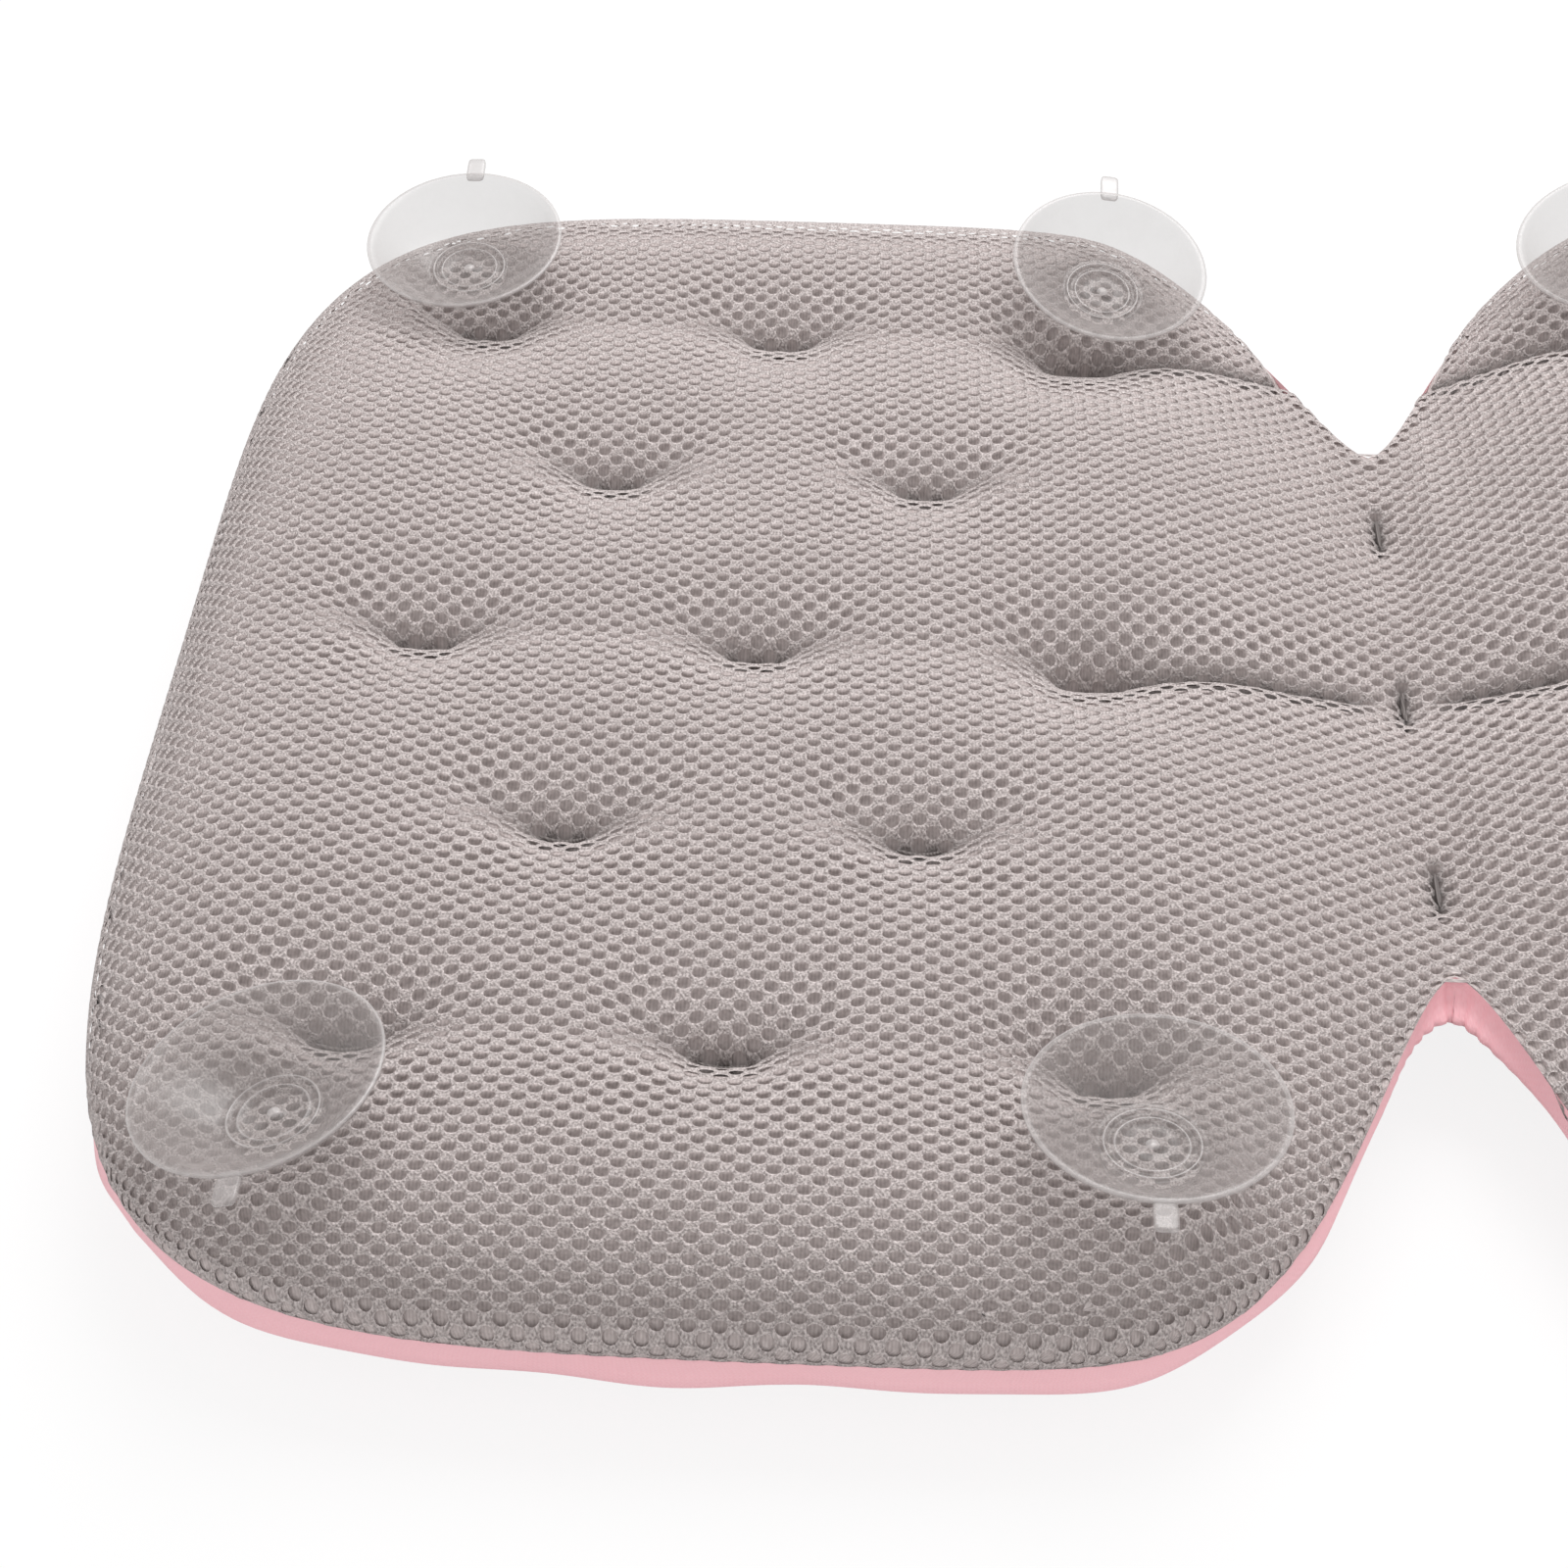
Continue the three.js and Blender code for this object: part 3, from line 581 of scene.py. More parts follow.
# Covers: the formed grid of the rear and the front
GRID_X, GRID_Y = plan_grid(GRID_ALONG, GRID_ACROSS)
GRID_PLAN = np.stack([GRID_X.ravel(), GRID_Y.ravel()], 1)
AT_SEAM = np.ones_like(GRID_X, bool)
AT_SEAM[1:-1, 1:-1] = False
GRID_EDGE = np.clip(nearest_edge(GRID_PLAN)[0], 0, None).reshape(GRID_X.shape)
GRID_EDGE[AT_SEAM] = 0.0
GRID_STITCH = stitch_distance(GRID_X, GRID_Y)
AT_STITCH = GRID_STITCH < HELD_RADIUS


def swell(points, held, upwards, cap):
    """Swells a cover as stuffed cloth: a Cloth simulation with pressure and no gravity, held at the seam
    and the stitches. Each point keeps at most the capped move, and less of it close to a stitch."""
    scene = bpy.context.scene
    piece = mesh_piece("swelling", points, grid_faces(*points.shape[:2], upwards), None)
    group = piece.vertex_groups.new(name="held")
    group.add(np.flatnonzero(held.ravel()).tolist(), 1.0, "REPLACE")
    modifier = piece.modifiers.new("stuffing", "CLOTH")
    for key, value in CLOTH_SETTINGS.items():
        setattr(modifier.settings, key, value)
    modifier.settings.effector_weights.gravity = 0
    modifier.collision_settings.use_collision = False
    modifier.point_cache.frame_start = 1
    modifier.point_cache.frame_end = SWELL_FRAMES
    for step in range(1, SWELL_FRAMES + 1):
        scene.frame_set(step)
    swollen = piece.evaluated_get(bpy.context.evaluated_depsgraph_get()).data
    flat = np.empty(len(swollen.vertices) * 3, np.float32)
    swollen.vertices.foreach_get("co", flat)
    move = flat.reshape(points.shape) / MM - points
    bpy.data.objects.remove(piece)
    scene.frame_set(1)
    size = np.linalg.norm(move, axis=2, keepdims=True)
    most = cap * smooth(GRID_STITCH / DIMPLE_HOLD)[..., None]
    return points + move * np.minimum(1, most / np.maximum(size, TINY))


def rear_cover():
    """The rear cover's grid: its formula, laid on the cups' seats and swollen."""
    height = START_SHARE * stand_out(GRID_X, GRID_Y, GRID_EDGE, True)
    level = seam_height(GRID_X, GRID_EDGE, True)
    points = seat_cups(np.stack([GRID_X, GRID_Y, level + height], 2), SEAT_ROOM)
    held = AT_SEAM | AT_STITCH | near_cup(GRID_X, GRID_Y)
    return seat_cups(swell(points, held, True, REAR_SWELL), SWOLLEN_ROOM)


def front_cover():
    """The front cover's grid: its formula downwards, swollen, then pressed flat on the floor."""
    height = START_SHARE * stand_out(GRID_X, GRID_Y, GRID_EDGE, False)
    level = seam_height(GRID_X, GRID_EDGE, False)
    points = np.stack([GRID_X, GRID_Y, level - height], 2)
    points = swell(points, AT_SEAM | AT_STITCH, False, FRONT_SWELL)
    points[..., 2] = np.maximum(points[..., 2], FLOOR_GAP)
    return points


REAR = rear_cover()
FRONT = front_cover()
REAR_NORMAL = surface_normals(REAR)


# Flat cloth: how the rounded edge uses up cloth
def edge_cloth(reach):
    """The depth in the plan, and for each of the set crowns the depth in the flat cloth, along a quarter of
    an ellipse."""
    turn = np.linspace(0, np.pi / 2, CLOTH_STEPS)
    depth = reach * (1 - np.cos(turn))
    flats = []
    for crown in CLOTH_CROWNS:
        step = np.hypot(np.diff(depth), crown * np.diff(np.sin(turn)))
        arc = np.concatenate([[0], np.cumsum(step)])
        flats.append(reach - (arc[-1] - arc))
    return depth, np.array(flats)


def by_crown(crown, rows):
    """Mixes rows of values, one for each of the set crowns, at each point's own crown."""
    place = np.interp(crown, CLOTH_CROWNS, np.arange(len(CLOTH_CROWNS)))
    low = np.clip(np.floor(place).astype(int), 0, len(CLOTH_CROWNS) - 2)
    share = place - low
    picked = np.arange(len(crown))
    return rows[low, picked] * (1 - share) + rows[low + 1, picked] * share


def crown_at(foot, rear):
    """Crown of a cover over an edge point, from the ramp at the waist and the lobe it is on."""
    crown = np.where(foot[:, 0] < 0, BACK_CROWN, NECK_CROWN) if rear else np.full(len(foot), FRONT_CROWN)
    return WAIST_HEIGHT + (crown - WAIST_HEIGHT) * smooth(np.abs(foot[:, 0]) / WAIST_RAMP)


def cloth_to_plan(cloth):
    """Plan places of the rear's flat cloth places: depth from the edge is shortened along the edge's outward
    line. Gives also how far each lies inside the cloth's edge."""
    gap, foot, out, _ = nearest_edge(cloth)
    depth, flats = edge_cloth(REAR_REACH)
    rows = np.array([np.interp(gap, flat, depth) for flat in flats])
    crown = crown_at(foot, True)
    inside = np.where(gap < REAR_REACH, by_crown(crown, rows), gap)
    hem = np.interp(crown, CLOTH_CROWNS, flats[:, 0])
    return foot - out * inside[:, None], gap - hem


def plan_to_cloth(plan, rear):
    """Flat cloth places of a cover's plan places, the other way round."""
    reach = REAR_REACH if rear else FRONT_REACH
    gap, foot, out, _ = nearest_edge(plan)
    depth, flats = edge_cloth(reach)
    rows = np.array([np.interp(np.clip(gap, 0, None), depth, flat) for flat in flats])
    flat = np.where(gap < reach, by_crown(crown_at(foot, rear), rows), gap)
    return foot - out * flat[:, None]


# Shader maths
class Term:
    """A socket whose operators add Math nodes, so that masks are written as plain expressions."""

    def __init__(self, nodes, socket):
        self.nodes = nodes
        self.socket = socket

    def math(self, operation, other=None, swapped=False):
        values = [self] if other is None else [other, self] if swapped else [self, other]
        inputs = dict(enumerate(values))
        return self.nodes.add("ShaderNodeMath", {"operation": operation}, inputs).out()

    def __add__(self, other):
        return self.math("ADD", other)

    def __radd__(self, other):
        return self.math("ADD", other, True)

    def __sub__(self, other):
        return self.math("SUBTRACT", other)

    def __rsub__(self, other):
        return self.math("SUBTRACT", other, True)

    def __mul__(self, other):
        return self.math("MULTIPLY", other)

    def __rmul__(self, other):
        return self.math("MULTIPLY", other, True)

    def wave(self, pitch):
        return (self * (2 * math.pi / pitch)).math("SINE")

    def clamp(self):
        return self.math("MINIMUM", 1.0).math("MAXIMUM", 0.0)

    def stretched(self, gain):
        return ((self - 0.5) * gain + 0.5).clamp()


class Made:
    """A node that was added, with its outputs as terms."""

    def __init__(self, nodes, node):
        self.nodes = nodes
        self.node = node

    def out(self, name=0):
        return Term(self.nodes, self.node.outputs[name])


class Nodes:
    """The node tree of one new material or world, cleared, with one method that adds any node."""

    def __init__(self, owner):
        owner.use_nodes = True
        self.owner = owner
        self.tree = owner.node_tree
        self.tree.nodes.clear()

    def add(self, kind, settings=None, inputs=None):
        node = self.tree.nodes.new(kind)
        for key, value in (settings or {}).items():
            setattr(node, key, value)
        for key, value in (inputs or {}).items():
            if isinstance(value, Term):
                self.tree.links.new(value.socket, node.inputs[key])
            else:
                node.inputs[key].default_value = value
        return Made(self, node)

    def surface(self, shader, output="ShaderNodeOutputMaterial"):
        self.add(output, {}, {"Surface": shader})
        return self.owner


def material_nodes(name):
    """The cleared nodes of a new material."""
    return Nodes(bpy.data.materials.new(name))


def mixed(nodes, factor, first, second):
    """A colour between two colours by a factor."""
    made = nodes.add("ShaderNodeMix", {"data_type": "RGBA"}, {0: factor, 6: first, 7: second})
    return made.out(2)


def noise(nodes, vector, scale, detail=2.0):
    """Noise from 0 to 1 at a number of patches a metre, or a tenth of a metre on flat cloth."""
    inputs = {"Vector": vector, "Scale": scale, "Detail": detail}
    return nodes.add("ShaderNodeTexNoise", {}, inputs).out(0)


def mark(nodes, name):
    """A piece's named mark as a term."""
    return nodes.add("ShaderNodeAttribute", {"attribute_name": name}).out("Fac")


def cloth_axes(nodes):
    """The flat cloth's two axes in millimetres as terms, and their vector."""
    place = nodes.add("ShaderNodeUVMap", {"uv_map": "fabric"}).out()
    split = nodes.add("ShaderNodeSeparateXYZ", {}, {0: place})
    return split.out(0) * CLOTH_UNIT, split.out(1) * CLOTH_UNIT, place


def knit_loops(wale, course, across, along):
    """Rows of knitted loops, from 0 to 1: a wave along the wales that each course shifts to and fro by a
    quarter of a wale."""
    row = along.wave(course)
    rib = (across + row * 0.25 * wale).wave(wale)
    return (rib * 0.35 + row * 0.15 + 0.5).clamp()


def relief_surface(nodes, height, strength, depth, sockets):
    """A Principled surface with a fine relief of a depth in metres."""
    relief = {"Height": height, "Strength": strength, "Distance": depth}
    bump = nodes.add("ShaderNodeBump", {}, relief)
    shader = nodes.add("ShaderNodeBsdfPrincipled", {}, {**sockets, "Normal": bump.out()})
    return nodes.surface(shader.out())


# Finishes
def linear(red, green, blue):
    """A colour given in display values from 0 to 255, as linear light with full alpha."""
    share = np.array([red, green, blue]) / 255
    value = np.where(share <= 0.04045, share / 12.92, ((share + 0.055) / 1.055) ** 2.4)
    return (*value.tolist(), 1.0)


YARN_DARK = linear(131, 121, 119)
YARN_LIGHT = linear(224, 214, 212)
# Painted shade: the yarn's colour deep in a slit
YARN_PAINTED_SHADE = linear(66, 60, 58)
GROUND_DARK = linear(166, 155, 153)
GROUND_LIGHT = linear(216, 205, 203)
# Painted shade: the ground's colour deep in a slit
GROUND_PAINTED_SHADE = linear(62, 56, 54)
PINK_DARK = linear(250, 188, 196)
PINK_LIGHT = linear(255, 208, 214)
PINK_SHEEN = linear(255, 205, 212)
HAZE_DARK = linear(148, 141, 139)
HAZE_LIGHT = linear(164, 157, 155)
# Painted highlight on the cups' rim, raised rings and tab
LINE_PAINTED_HIGHLIGHT = linear(204, 199, 198)
GREY_STRAND_DARK = linear(84, 77, 75)
GREY_STRAND_LIGHT = linear(126, 119, 117)
PINK_STRAND_DARK = linear(205, 138, 148)
PINK_STRAND_LIGHT = linear(230, 170, 178)
WASHER_DARK = linear(205, 205, 205)
WASHER_LIGHT = linear(222, 222, 222)
WHITE = (1, 1, 1, 1)
# How far the painted shade darkens yarn and ground in the slits
PAINTED_SHADE_STRENGTH = 0.95
YARN_WALE = 0.8
YARN_COURSE = 1.1
GROUND_RIB = 0.75
PINK_WALE = 0.9
PINK_COURSE = 0.8
STRAND_TWIST = 0.0009


def yarn_material():
    """Light warm-grey yarn of the net: fine twisted fibres, with a slightly uneven tone, a painted highlight
    round the holes and painted shade where it is pinched in a slit."""
    nodes = material_nodes("yarn_net")
    across, along, place = cloth_axes(nodes)
    fibre = noise(nodes, place, 190.0).stretched(4.0)
    patch = noise(nodes, place, 2.2, 1.0)
    loops = knit_loops(YARN_WALE, YARN_COURSE, across, along)
    rim = mark(nodes, "rim")
    # Painted highlight: the yarn is made lighter at the edges of the holes
    tone = (fibre * 0.6 + loops * 0.15 + patch * 0.1 + rim * rim * rim * 0.25).clamp()
    open_yarn = mixed(nodes, tone, YARN_DARK, YARN_LIGHT)
    # Painted shade darkens the yarn in the slits
    return relief_surface(nodes, fibre * 0.6 + loops * 0.4, 0.6, 0.0005, {
        "Base Color": mixed(nodes, mark(nodes, "pinch") * PAINTED_SHADE_STRENGTH, open_yarn, YARN_PAINTED_SHADE),
        "Roughness": 0.72,
        "Sheen Weight": 0.12,
        "Sheen Roughness": 0.5,
    })


def ground_material():
    """Back layer of the mesh, seen through its holes: fine ribs of monofilament, with painted shade in the
    slits.
    """
    nodes = material_nodes("mesh_ground")
    across, _, place = cloth_axes(nodes)
    rib = across.wave(GROUND_RIB) * 0.5 + 0.5
    fibre = noise(nodes, place, 100.0).stretched(2.0)
    tone = (rib * 0.3 + fibre * 0.7).clamp()
    open_ground = mixed(nodes, tone, GROUND_DARK, GROUND_LIGHT)
    # Painted shade darkens the ground in the slits
    return relief_surface(nodes, tone, 0.5, 0.0004, {
        "Base Color": mixed(nodes, mark(nodes, "pinch") * PAINTED_SHADE_STRENGTH, open_ground, GROUND_PAINTED_SHADE),
        "Roughness": 0.9,
    })


def pink_material():
    """Smooth pink knitted cover: fine loops, a soft sheen and slight changes of tone."""
    nodes = material_nodes("pink_knit")
    across, along, place = cloth_axes(nodes)
    loops = knit_loops(PINK_WALE, PINK_COURSE, across, along)
    patch = noise(nodes, place, 3.0)
    fibre = noise(nodes, place, 90.0)
    tone = (loops * 0.35 + patch * 0.35 + fibre * 0.3).clamp()
    return relief_surface(nodes, loops * 0.7 + fibre * 0.3, 0.3, 0.0003, {
        "Base Color": mixed(nodes, tone, PINK_DARK, PINK_LIGHT),
        "Roughness": 0.62,
        "Sheen Weight": 0.7,
        "Sheen Roughness": 0.5,
        "Sheen Tint": PINK_SHEEN,
    })


def clear_material():
    """Clear soft PVC with a thin wall: it lets light straight through with a faint haze, denser where the
    wall is seen along its surface and on the rim and the raised rings, which also get a painted highlight,
    under a glossy skin that changes slightly with the flow of the moulding."""
    nodes = material_nodes("clear_pvc")
    place = nodes.add("ShaderNodeTexCoord").out("Object")
    flow = noise(nodes, place, 160.0, 1.0)
    slant = nodes.add("ShaderNodeLayerWeight", {}, {"Blend": 0.5}).out("Facing")
    line = mark(nodes, "rim")
    haze = mixed(nodes, flow, HAZE_DARK, HAZE_LIGHT)
    shader = nodes.add("ShaderNodeBsdfPrincipled", {}, {
        # The raised lines are denser and lighter, the lighter colour a painted highlight
        "Base Color": mixed(nodes, line, haze, LINE_PAINTED_HIGHLIGHT),
        "Roughness": flow * 0.06 + 0.24,
        "IOR": 1.8,
        "Alpha": (slant * slant * 0.44 + line * 0.25 + flow * 0.04 + 0.17).clamp(),
    })
    return nodes.surface(shader.out())


def thread_material(name, dark, light):
    """Twisted sewing thread: slanted strands of two near tones."""
    nodes = material_nodes(name)
    place = nodes.add("ShaderNodeTexCoord").out("Object")
    split = nodes.add("ShaderNodeSeparateXYZ", {}, {0: place})
    twist = (split.out(0) + split.out(2)).wave(STRAND_TWIST) * 0.5 + 0.5
    tone = (twist * 0.7 + noise(nodes, place, 1500.0) * 0.3).clamp()
    return relief_surface(nodes, tone, 0.5, 0.0003, {
        "Base Color": mixed(nodes, tone, dark, light),
        "Roughness": 0.7,
    })


def washer_material():
    """Satin clear plastic of the washers behind the mesh."""
    nodes = material_nodes("washer_plastic")
    place = nodes.add("ShaderNodeTexCoord").out("Object")
    flow = noise(nodes, place, 300.0)
    shader = nodes.add("ShaderNodeBsdfPrincipled", {}, {
        "Base Color": mixed(nodes, flow, WASHER_DARK, WASHER_LIGHT),
        "Roughness": flow * 0.1 + 0.3,
    })
    return nodes.surface(shader.out())


YARN = yarn_material()
GROUND = ground_material()
PINK = pink_material()
CLEAR = clear_material()
GREY_THREAD = thread_material("grey_thread", GREY_STRAND_DARK, GREY_STRAND_LIGHT)
PINK_THREAD = thread_material("pink_thread", PINK_STRAND_DARK, PINK_STRAND_LIGHT)
WASHER = washer_material()


def bend_at_waist(piece):
    """Bakes a piece's transform into its mesh."""
    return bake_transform(piece)


# Net of yarn
def net_lattice():
    """Centres of the staggered holes on the flat cloth, and which of them lie inside its edge."""
    rows = int(2 * (LOBE_HALF_WIDTH + NET_MARGIN) / HOLE_ROW)
    columns = int(2 * (LOBE_LENGTH + NET_MARGIN) / HOLE_PITCH)
    j, i = np.meshgrid(np.arange(rows), np.arange(columns), indexing="ij")
    cx = (i - columns // 2 + 0.5 * (j % 2)) * HOLE_PITCH
    cy = (j - rows // 2) * HOLE_ROW
    centre = np.stack([cx, cy], 2)
    _, inside = cloth_to_plan(centre.reshape(-1, 2))
    kept = inside.reshape(rows, columns) > -NET_OVERHANG
    kept[0] = kept[-1] = kept[:, 0] = kept[:, -1] = False
    return centre, kept


def net_cells(centre, kept):
    """Triangles of a part of the net, between the flat cloth's points: each cell of the staggered holes is a
    hexagon, filled by a band from the hole's oval edge to the ridge that it shares with its neighbours.
    Gives the points, which of them are on a hole's edge, and the triangles."""
    rows, columns = kept.shape
    count = rows * columns
    point = ((HOLE_PITCH / 2) ** 2 + HOLE_ROW ** 2) / HOLE_PITCH
    tips = np.stack([centre + [point, 0], centre - [point, 0]])
    turns = np.arange(HOLE_STEPS) * 2 * np.pi / HOLE_STEPS
    ring = np.stack([HOLE_HALF_LENGTH * np.cos(turns), HOLE_HALF_WIDTH * np.sin(turns)], 1)
    rings = centre[:, :, None] + ring
    row, column = np.nonzero(kept)
    tip = np.arange(2 * count).reshape(2, rows, columns)
    up, down = row + 1, row - 1
    right, left = column + row % 2, column + row % 2 - 1
    corners = [
        tip[0, row, column],
        tip[1, up, right],
        tip[0, up, left],
        tip[1, row, column],
        tip[0, down, left],
        tip[1, down, right],
    ]
    first = 2 * count + (row * columns + column) * HOLE_STEPS
    triangles = []
    for k in range(6):
        here, there = corners[k], corners[(k + 1) % 6]
        a, b, c = (first + (2 * k + m) % HOLE_STEPS for m in range(3))
        triangles += [np.stack([here, b, a], 1), np.stack([here, there, b], 1), np.stack([there, c, b], 1)]
    flat = np.concatenate([tips.reshape(-1, 2), rings.reshape(-1, 2)])
    rim = np.concatenate([np.zeros(2 * count), np.ones(HOLE_STEPS * count)])
    used, faces = np.unique(np.concatenate(triangles), return_inverse=True)
    return flat[used], rim[used], faces.reshape(-1, 3)


def net_piece(name, centre, kept):
    """A part of the net laid on the rear cover: its ridges stand out more than the edges of its holes, and
    both come down to the cover at the hem."""
    flat, rim, faces = net_cells(centre, kept)
    plan, depth = cloth_to_plan(flat)
    plan = gathered(plan)
    along, across = grid_shares(plan[:, 0], plan[:, 1])
    points = sample(REAR, along, across)
    normal = sample(REAR_NORMAL, along, across)
    lift = (YARN_RISE + (YARN_SIDE - YARN_RISE) * rim) * smooth(depth / HEM_BLEND)
    points = points + normal / np.linalg.norm(normal, axis=1, keepdims=True) * lift[:, None]
    # The slits' painted shade goes to the yarn as a mark
    points, pinch = slits(points, 1.0)
    return mesh_piece(name, points, faces, YARN, flat, rim=rim, pinch=pinch)


def ground_piece():
    """The mesh's back layer: the rear cover on a finer grid, sunk under the net, less near the seam."""
    columns, rows = graded(FINER * COLUMNS), graded(FINER * ROWS)
    points = sample(REAR, *np.meshgrid(columns, rows, indexing="ij"))
    x, y = plan_grid(columns, rows)
    plan = np.stack([x.ravel(), y.ravel()], 1)
    edge = np.clip(nearest_edge(plan)[0], 0, None).reshape(x.shape)
    sink = GROUND_DEPTH * smooth(edge / HEM_BLEND)
    # The slits' painted shade goes to the ground as a mark
    points, pinch = slits(points - surface_normals(points) * sink[..., None], GROUND_SLIT)
    faces = grid_faces(len(columns), len(rows))
    return mesh_piece("mesh_ground", points, faces, GROUND, plan_to_cloth(plan, True), pinch=pinch)


def band(edge, rise, top, fade):
    """A band under the seam, by the distance from the edge: a smooth rise, then a smooth fade."""
    return smooth(edge / rise) * (1 - smooth((edge - top) / fade))


def pink_piece():
    """The front cover on a finer grid. Gathers stand out just under the seam at the notches, sines along the
    seam that fade away from the waist, slower waves run all along the bulging side, and a bell fills out the
    notches."""
    columns, rows = crowded_waist(FRONT_COLUMNS), graded(FINER * ROWS)
    points = sample(FRONT, *np.meshgrid(columns, rows, indexing="ij"))
    x, y = plan_grid(columns, rows)
    plan = np.stack([x.ravel(), y.ravel()], 1)
    edge, _, out, length = nearest_edge(plan)
    edge = np.clip(edge, 0, None)
    side = band(edge, *SIDE_BAND)
    run = length * np.sign(plan[:, 0]) * 2 * np.pi
    gather = GATHER_DEPTH * np.exp(-(length / GATHER_REACH) ** 2) * np.sin(run / GATHER_PITCH)
    long_wave = WAVE_LONG_SHARE * np.sin(run / WAVE_LONG + WAVE_LONG_START)
    wave = WAVE_DEPTH * (long_wave + (1 - WAVE_LONG_SHARE) * np.sin(run / WAVE_SHORT))
    shift = ((wave + SIDE_BULGE) * side + gather * band(edge, *GATHER_BAND)).reshape(x.shape)
    points[..., :2] += shift[..., None] * out.reshape(*x.shape, 2)
    filled = NOTCH_FILL * np.exp(-(x / NOTCH_FILL_REACH) ** 2) * side.reshape(x.shape)
    points[..., 1] += np.sign(y) * filled
    faces = grid_faces(len(columns), len(rows), False)
    return mesh_piece("pink_front", points, faces, PINK, plan_to_cloth(plan, False))


# Rear cover: ground layer and net
ground = ground_piece()
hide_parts("rear_waist_web", "filling_back", "filling_neck")
bend_at_waist(ground)
CENTRES, KEPT = net_lattice()
for lobe, part in (("back", CENTRES[..., 0] < 0), ("neck", CENTRES[..., 0] >= 0)):
    net = net_piece(f"yarn_net_{lobe}", CENTRES, KEPT & part)
    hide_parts(f"rear_mesh_{lobe}")
    bend_at_waist(net)

# Front cover
pink = pink_piece()
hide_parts("front_cover_back", "front_cover_neck", "front_waist_web")
bend_at_waist(pink)


# Stitches
def stitches(name, places, table, outward, along_x, material):
    """Short bars of thread at the bottom of each dimple: a round tube along each bar, which narrows almost to
    nothing at its ends with the fourth power of the place along it."""
    t = np.linspace(-1, 1, THREAD_STEPS)
    turn = np.arange(THREAD_SIDES) * 2 * np.pi / THREAD_SIDES
    radius = THREAD_RADIUS * np.sqrt(1 - THREAD_TAPER * t ** 4)
    bar, side = ([1, 0], [0, 1.0, 0]) if along_x else ([0, 1], [1.0, 0, 0])
    ring = np.cos(turn)[:, None] * np.array(side) + np.sin(turn)[:, None] * np.array([0, 0, 1.0])
    tubes = []
    for x, y in places:
        px, py = x + STITCH_HALF_LENGTH * bar[0] * t, y + STITCH_HALF_LENGTH * bar[1] * t
        line = sample(table, *grid_shares(px, py)) + [0, 0, outward * THREAD_RISE]
        line = slits(line, THREAD_SLIT)[0] if outward > 0 else line
        tubes.append((line[:, None] + radius[:, None, None] * ring[None]).reshape(-1, 3))
    tube = ring_faces(THREAD_STEPS, THREAD_SIDES)
    faces = [tube + k * THREAD_STEPS * THREAD_SIDES for k in range(len(places))]
    return mesh_piece(name, np.concatenate(tubes), np.concatenate(faces), material)


for lobe in ("back", "neck"):
    rear_thread = stitches(f"tuft_thread_rear_{lobe}", TUFTS[lobe], REAR, 1, True, GREY_THREAD)
    front_thread = stitches(f"tuft_thread_front_{lobe}", TUFTS[lobe], FRONT, -1, True, PINK_THREAD)
    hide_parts(*[n for n in frame["nodes"] if n.startswith(f"tuft_tie_{lobe}")])
    for thread in (rear_thread, front_thread):
        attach(thread, f"{lobe}_pad")
rear_tack = stitches("tack_thread_rear", TACKS, REAR, 1, False, GREY_THREAD)
front_tack = stitches("tack_thread_front", TACKS, FRONT, -1, False, PINK_THREAD)
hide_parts(*[n for n in frame["nodes"] if n.startswith("waist_tack")])
for thread in (rear_tack, front_tack):
    bend_at_waist(thread)


# Suction cups
def cup_profile():
    """Profile of a cup as radius, height over its seat and share of a raised line: neck, boss, bowl, rounded
    rim, then the inside with two raised rings on the hub's floor and a dot in the middle."""
    share = np.linspace(0, 1, BOWL_STEPS)
    plain = np.zeros_like(share)
    wide = CUP_HUB + (CUP_RADIUS - CUP_HUB) * share
    outside = np.stack([wide, bowl_height(wide), plain], 1)
    back = share[::-1]
    narrow = CUP_HUB + (CUP_RADIUS - CUP_WALL - CUP_HUB) * back
    inside = np.stack([narrow, CUP_FLOOR + (CUP_RIM - CUP_FLOOR) * bowl_curve(back), plain], 1)
    hub = [OUTER_RING, INNER_RING, MIDDLE_DOT]
    return np.vstack([CUP_NECK, CUP_BOSS, outside, ROUNDED_RIM, inside, *hub])


def rounded_box(value):
    """A low power of a sine's or cosine's size, with its sign, which turns a circle into a rounded box."""
    return np.sign(value) * np.abs(value) ** TAB_POWER


def tab_points():
    """Pull tab on the rim: a flat tongue, rounded from a sphere's rings into a box."""
    turn = np.linspace(0, 2 * np.pi, TAB_STEPS, endpoint=False)
    rise = np.linspace(-np.pi / 2, np.pi / 2, TAB_RINGS)
    ring = rounded_box(np.cos(rise))[:, None]
    x = ring * rounded_box(np.cos(turn))
    y = ring * rounded_box(np.sin(turn))
    z = rounded_box(np.sin(rise))[:, None] + 0 * x
    return (np.stack([x, y, z], 2) * TAB_HALF_SIZE + TAB_MIDDLE).reshape(-1, 3)


def suction_cup(name, seat, turn):
    """A cup turned from its profile about its axis, with its tab, set on its seat."""
    profile = cup_profile()
    spin = np.arange(CUP_STEPS) * 2 * np.pi / CUP_STEPS
    radius, height = profile[:, 0, None], profile[:, 1, None]
    body = np.stack([radius * np.cos(spin), radius * np.sin(spin), height + 0 * spin], 2).reshape(-1, 3)
    tab = tab_points()
    points = np.vstack([body, tab]) @ turn.T + seat
    faces = [ring_faces(len(profile), CUP_STEPS), ring_faces(TAB_RINGS, TAB_STEPS) + len(body)]
    # Share of the raised line, which the clear finish lightens as a painted highlight
    line = np.concatenate([np.repeat(profile[:, 2], CUP_STEPS), np.full(len(tab), TAB_LINE)])
    return mesh_piece(name, points, np.vstack(faces), CLEAR, rim=line)


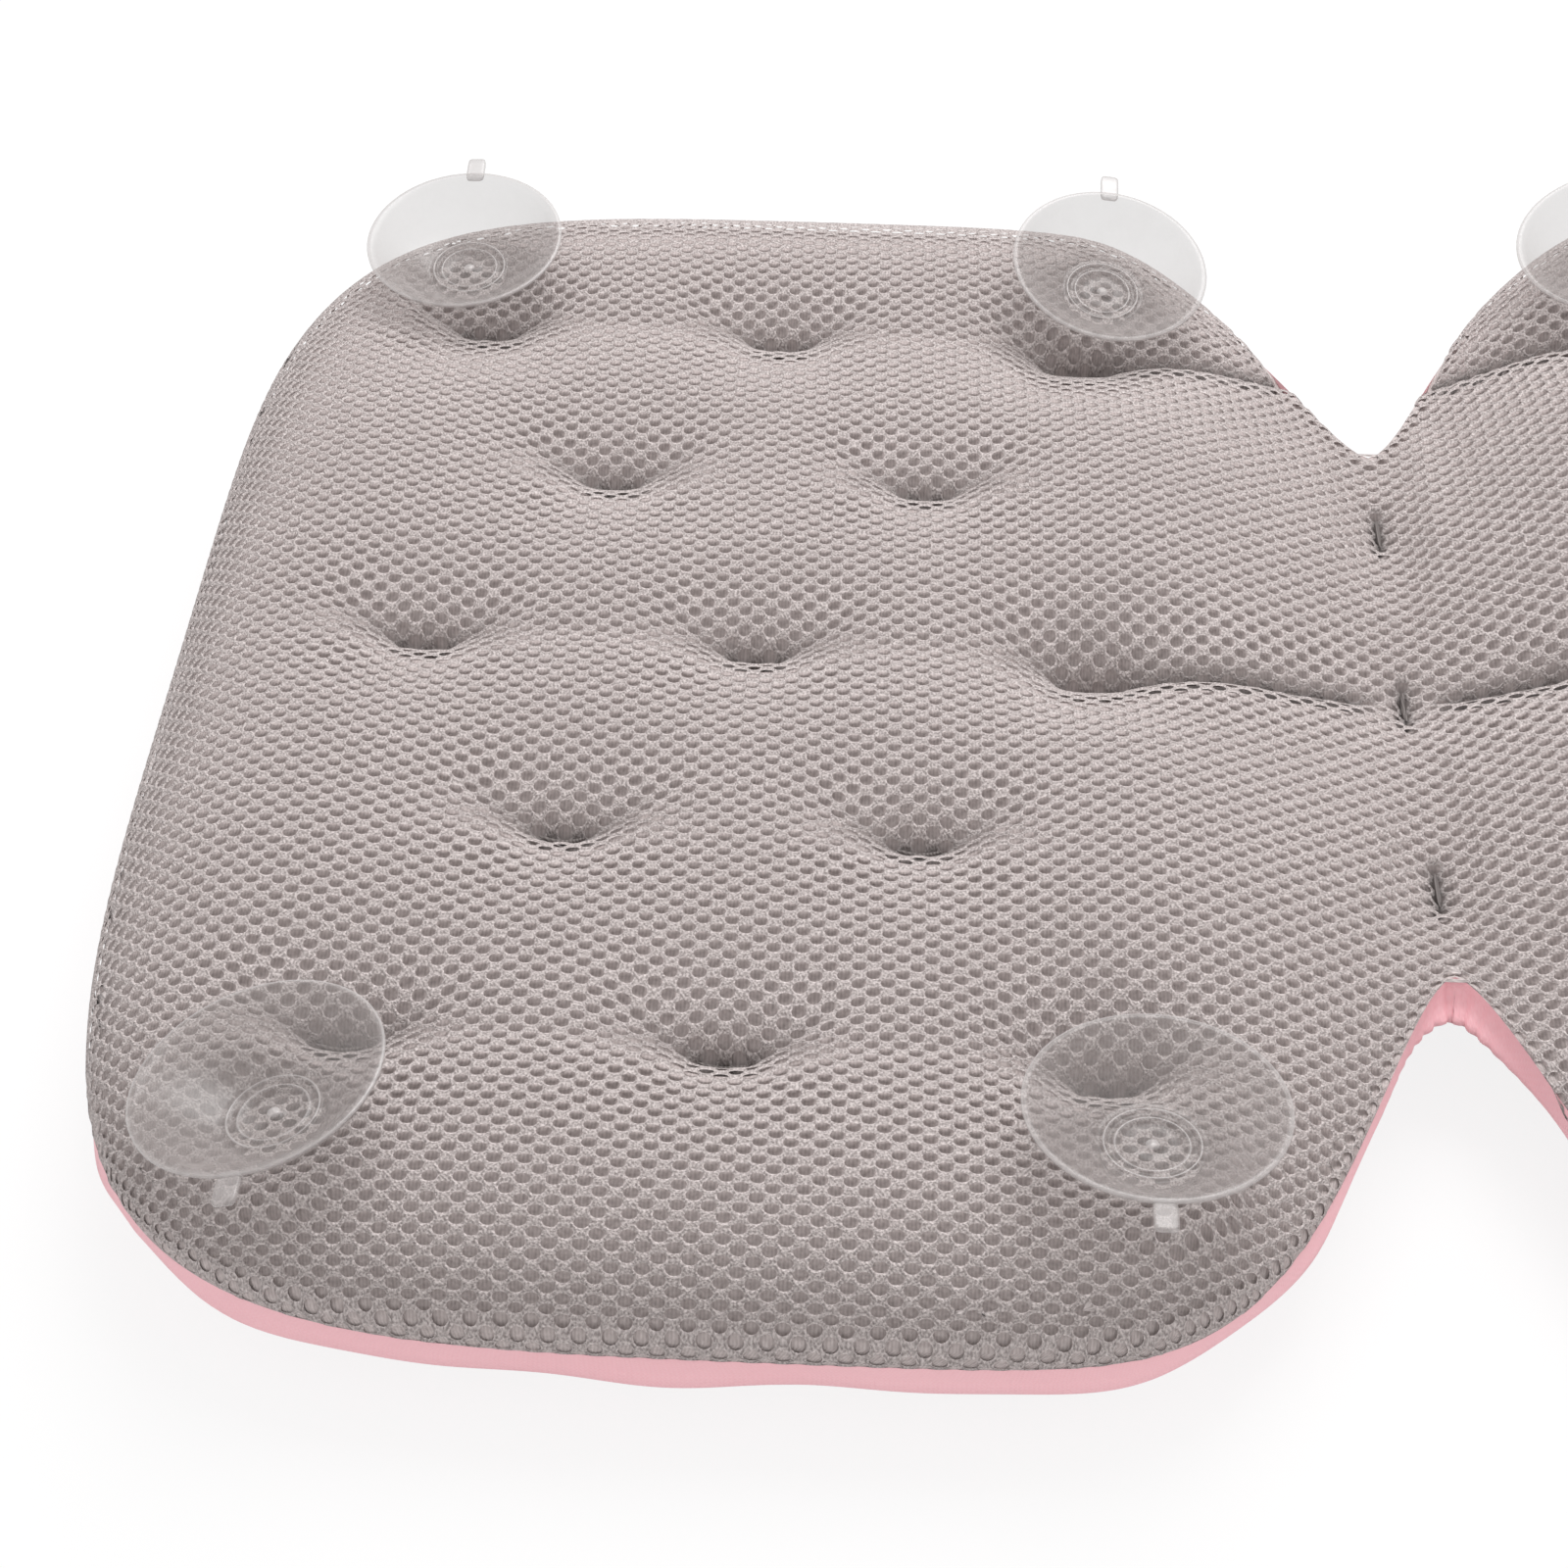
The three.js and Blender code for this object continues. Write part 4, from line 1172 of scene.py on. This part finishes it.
for cup, (seat, turn) in CUPS.items():
    piece = suction_cup(f"clear_cup_{cup}", seat, turn)
    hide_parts(f"suction_cup_{cup}")
    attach(piece, f"cup_{cup}")

for name, node in frame["nodes"].items():
    if name.startswith("cup_washer"):
        node.data.materials.clear()
        node.data.materials.append(WASHER)

# Floor, light and camera; places in metres
FLOOR_REACH = 3000.0
FLOOR_COLOUR = (0.86, 0.86, 0.86, 1)
FLOOR_WHITE = 0.85
SKY_COLOUR = (1, 0.99, 0.985, 1)
SKY_STRENGTH = 0.74
KEY_PLACE = (0.1, 0.7, 1.3)
KEY_AIM = (-0.1, 0, 0)
KEY_SIZE = 1.0
KEY_POWER = 19.0
CAMERA_PLACE = (-0.1199, -0.4816, 0.4601)
CAMERA_LOOK = (-0.0323, 0.7190, -0.6942)
CAMERA_UP = (-0.0335, 0.6934, 0.7197)
CAMERA_FOCUS = 2881
IMAGE_WIDTH = 1600
SENSOR_WIDTH = 36
CLIP_START = 0.01


def floor_material():
    """Pale floor: mostly its own white to the camera, also by gloss and through clear parts, so that only a
    soft shadow is left."""
    nodes = material_nodes("pale_floor")
    plain = nodes.add("ShaderNodeBsdfDiffuse", {}, {"Color": FLOOR_COLOUR}).out()
    white = nodes.add("ShaderNodeEmission", {}, {"Color": WHITE, "Strength": 1.0}).out()
    path = nodes.add("ShaderNodeLightPath")
    seen = path.out("Is Camera Ray") + path.out("Is Glossy Ray") + path.out("Is Transmission Ray")
    mix = nodes.add("ShaderNodeMixShader", {}, {0: seen.clamp() * FLOOR_WHITE, 1: plain, 2: white})
    return nodes.surface(mix.out())


def pale_world():
    """Even pale light all round, seen as plain white straight or through clear parts."""
    nodes = Nodes(bpy.data.worlds.new("studio"))
    path = nodes.add("ShaderNodeLightPath")
    straight = path.out("Is Camera Ray").math("MAXIMUM", path.out("Is Transmission Ray"))
    lit = nodes.add("ShaderNodeBackground", {}, {"Color": SKY_COLOUR, "Strength": SKY_STRENGTH}).out()
    seen = nodes.add("ShaderNodeBackground", {}, {"Color": WHITE, "Strength": 1.0}).out()
    mix = nodes.add("ShaderNodeMixShader", {}, {0: straight, 1: lit, 2: seen})
    bpy.context.scene.world = nodes.surface(mix.out(), "ShaderNodeOutputWorld")


def floor_piece():
    """A wide flat floor just under the pillow."""
    corners = np.array([[-1, -1, 0], [1, -1, 0], [1, 1, 0], [-1, 1, 0]])
    piece = mesh_piece("floor", FLOOR_REACH * corners, np.array([[0, 1, 2, 3]]), floor_material())


def soft_box(name, place, aim, size, power):
    """A square area lamp at a place, turned to its aim."""
    data = bpy.data.lights.new(name, "AREA")
    data.size = size
    data.energy = power
    lamp = bpy.data.objects.new(name, data)
    lamp.location = place
    lamp.rotation_mode = "QUATERNION"
    lamp.rotation_quaternion = (Vector(aim) - Vector(place)).to_track_quat("-Z", "Y")
    bpy.context.scene.collection.objects.link(lamp)


def photo_camera():
    """Camera at the photograph's place, with its look and its up direction, and a lens from its focal length
    in pixels."""
    look = Vector(CAMERA_LOOK).normalized()
    right = look.cross(Vector(CAMERA_UP)).normalized()
    up = right.cross(look)
    data = bpy.data.cameras.new("photo")
    data.sensor_width = SENSOR_WIDTH
    data.lens = SENSOR_WIDTH * CAMERA_FOCUS / IMAGE_WIDTH
    data.clip_start = CLIP_START
    camera = bpy.data.objects.new("photo", data)
    turn = Matrix((right, up, -look)).transposed().to_4x4()
    camera.matrix_world = Matrix.Translation(CAMERA_PLACE) @ turn
    bpy.context.scene.collection.objects.link(camera)
    bpy.context.scene.camera = camera


floor_piece()
pale_world()
soft_box("key", KEY_PLACE, KEY_AIM, KEY_SIZE, KEY_POWER)
photo_camera()
bpy.context.scene.view_settings.view_transform = "Standard"
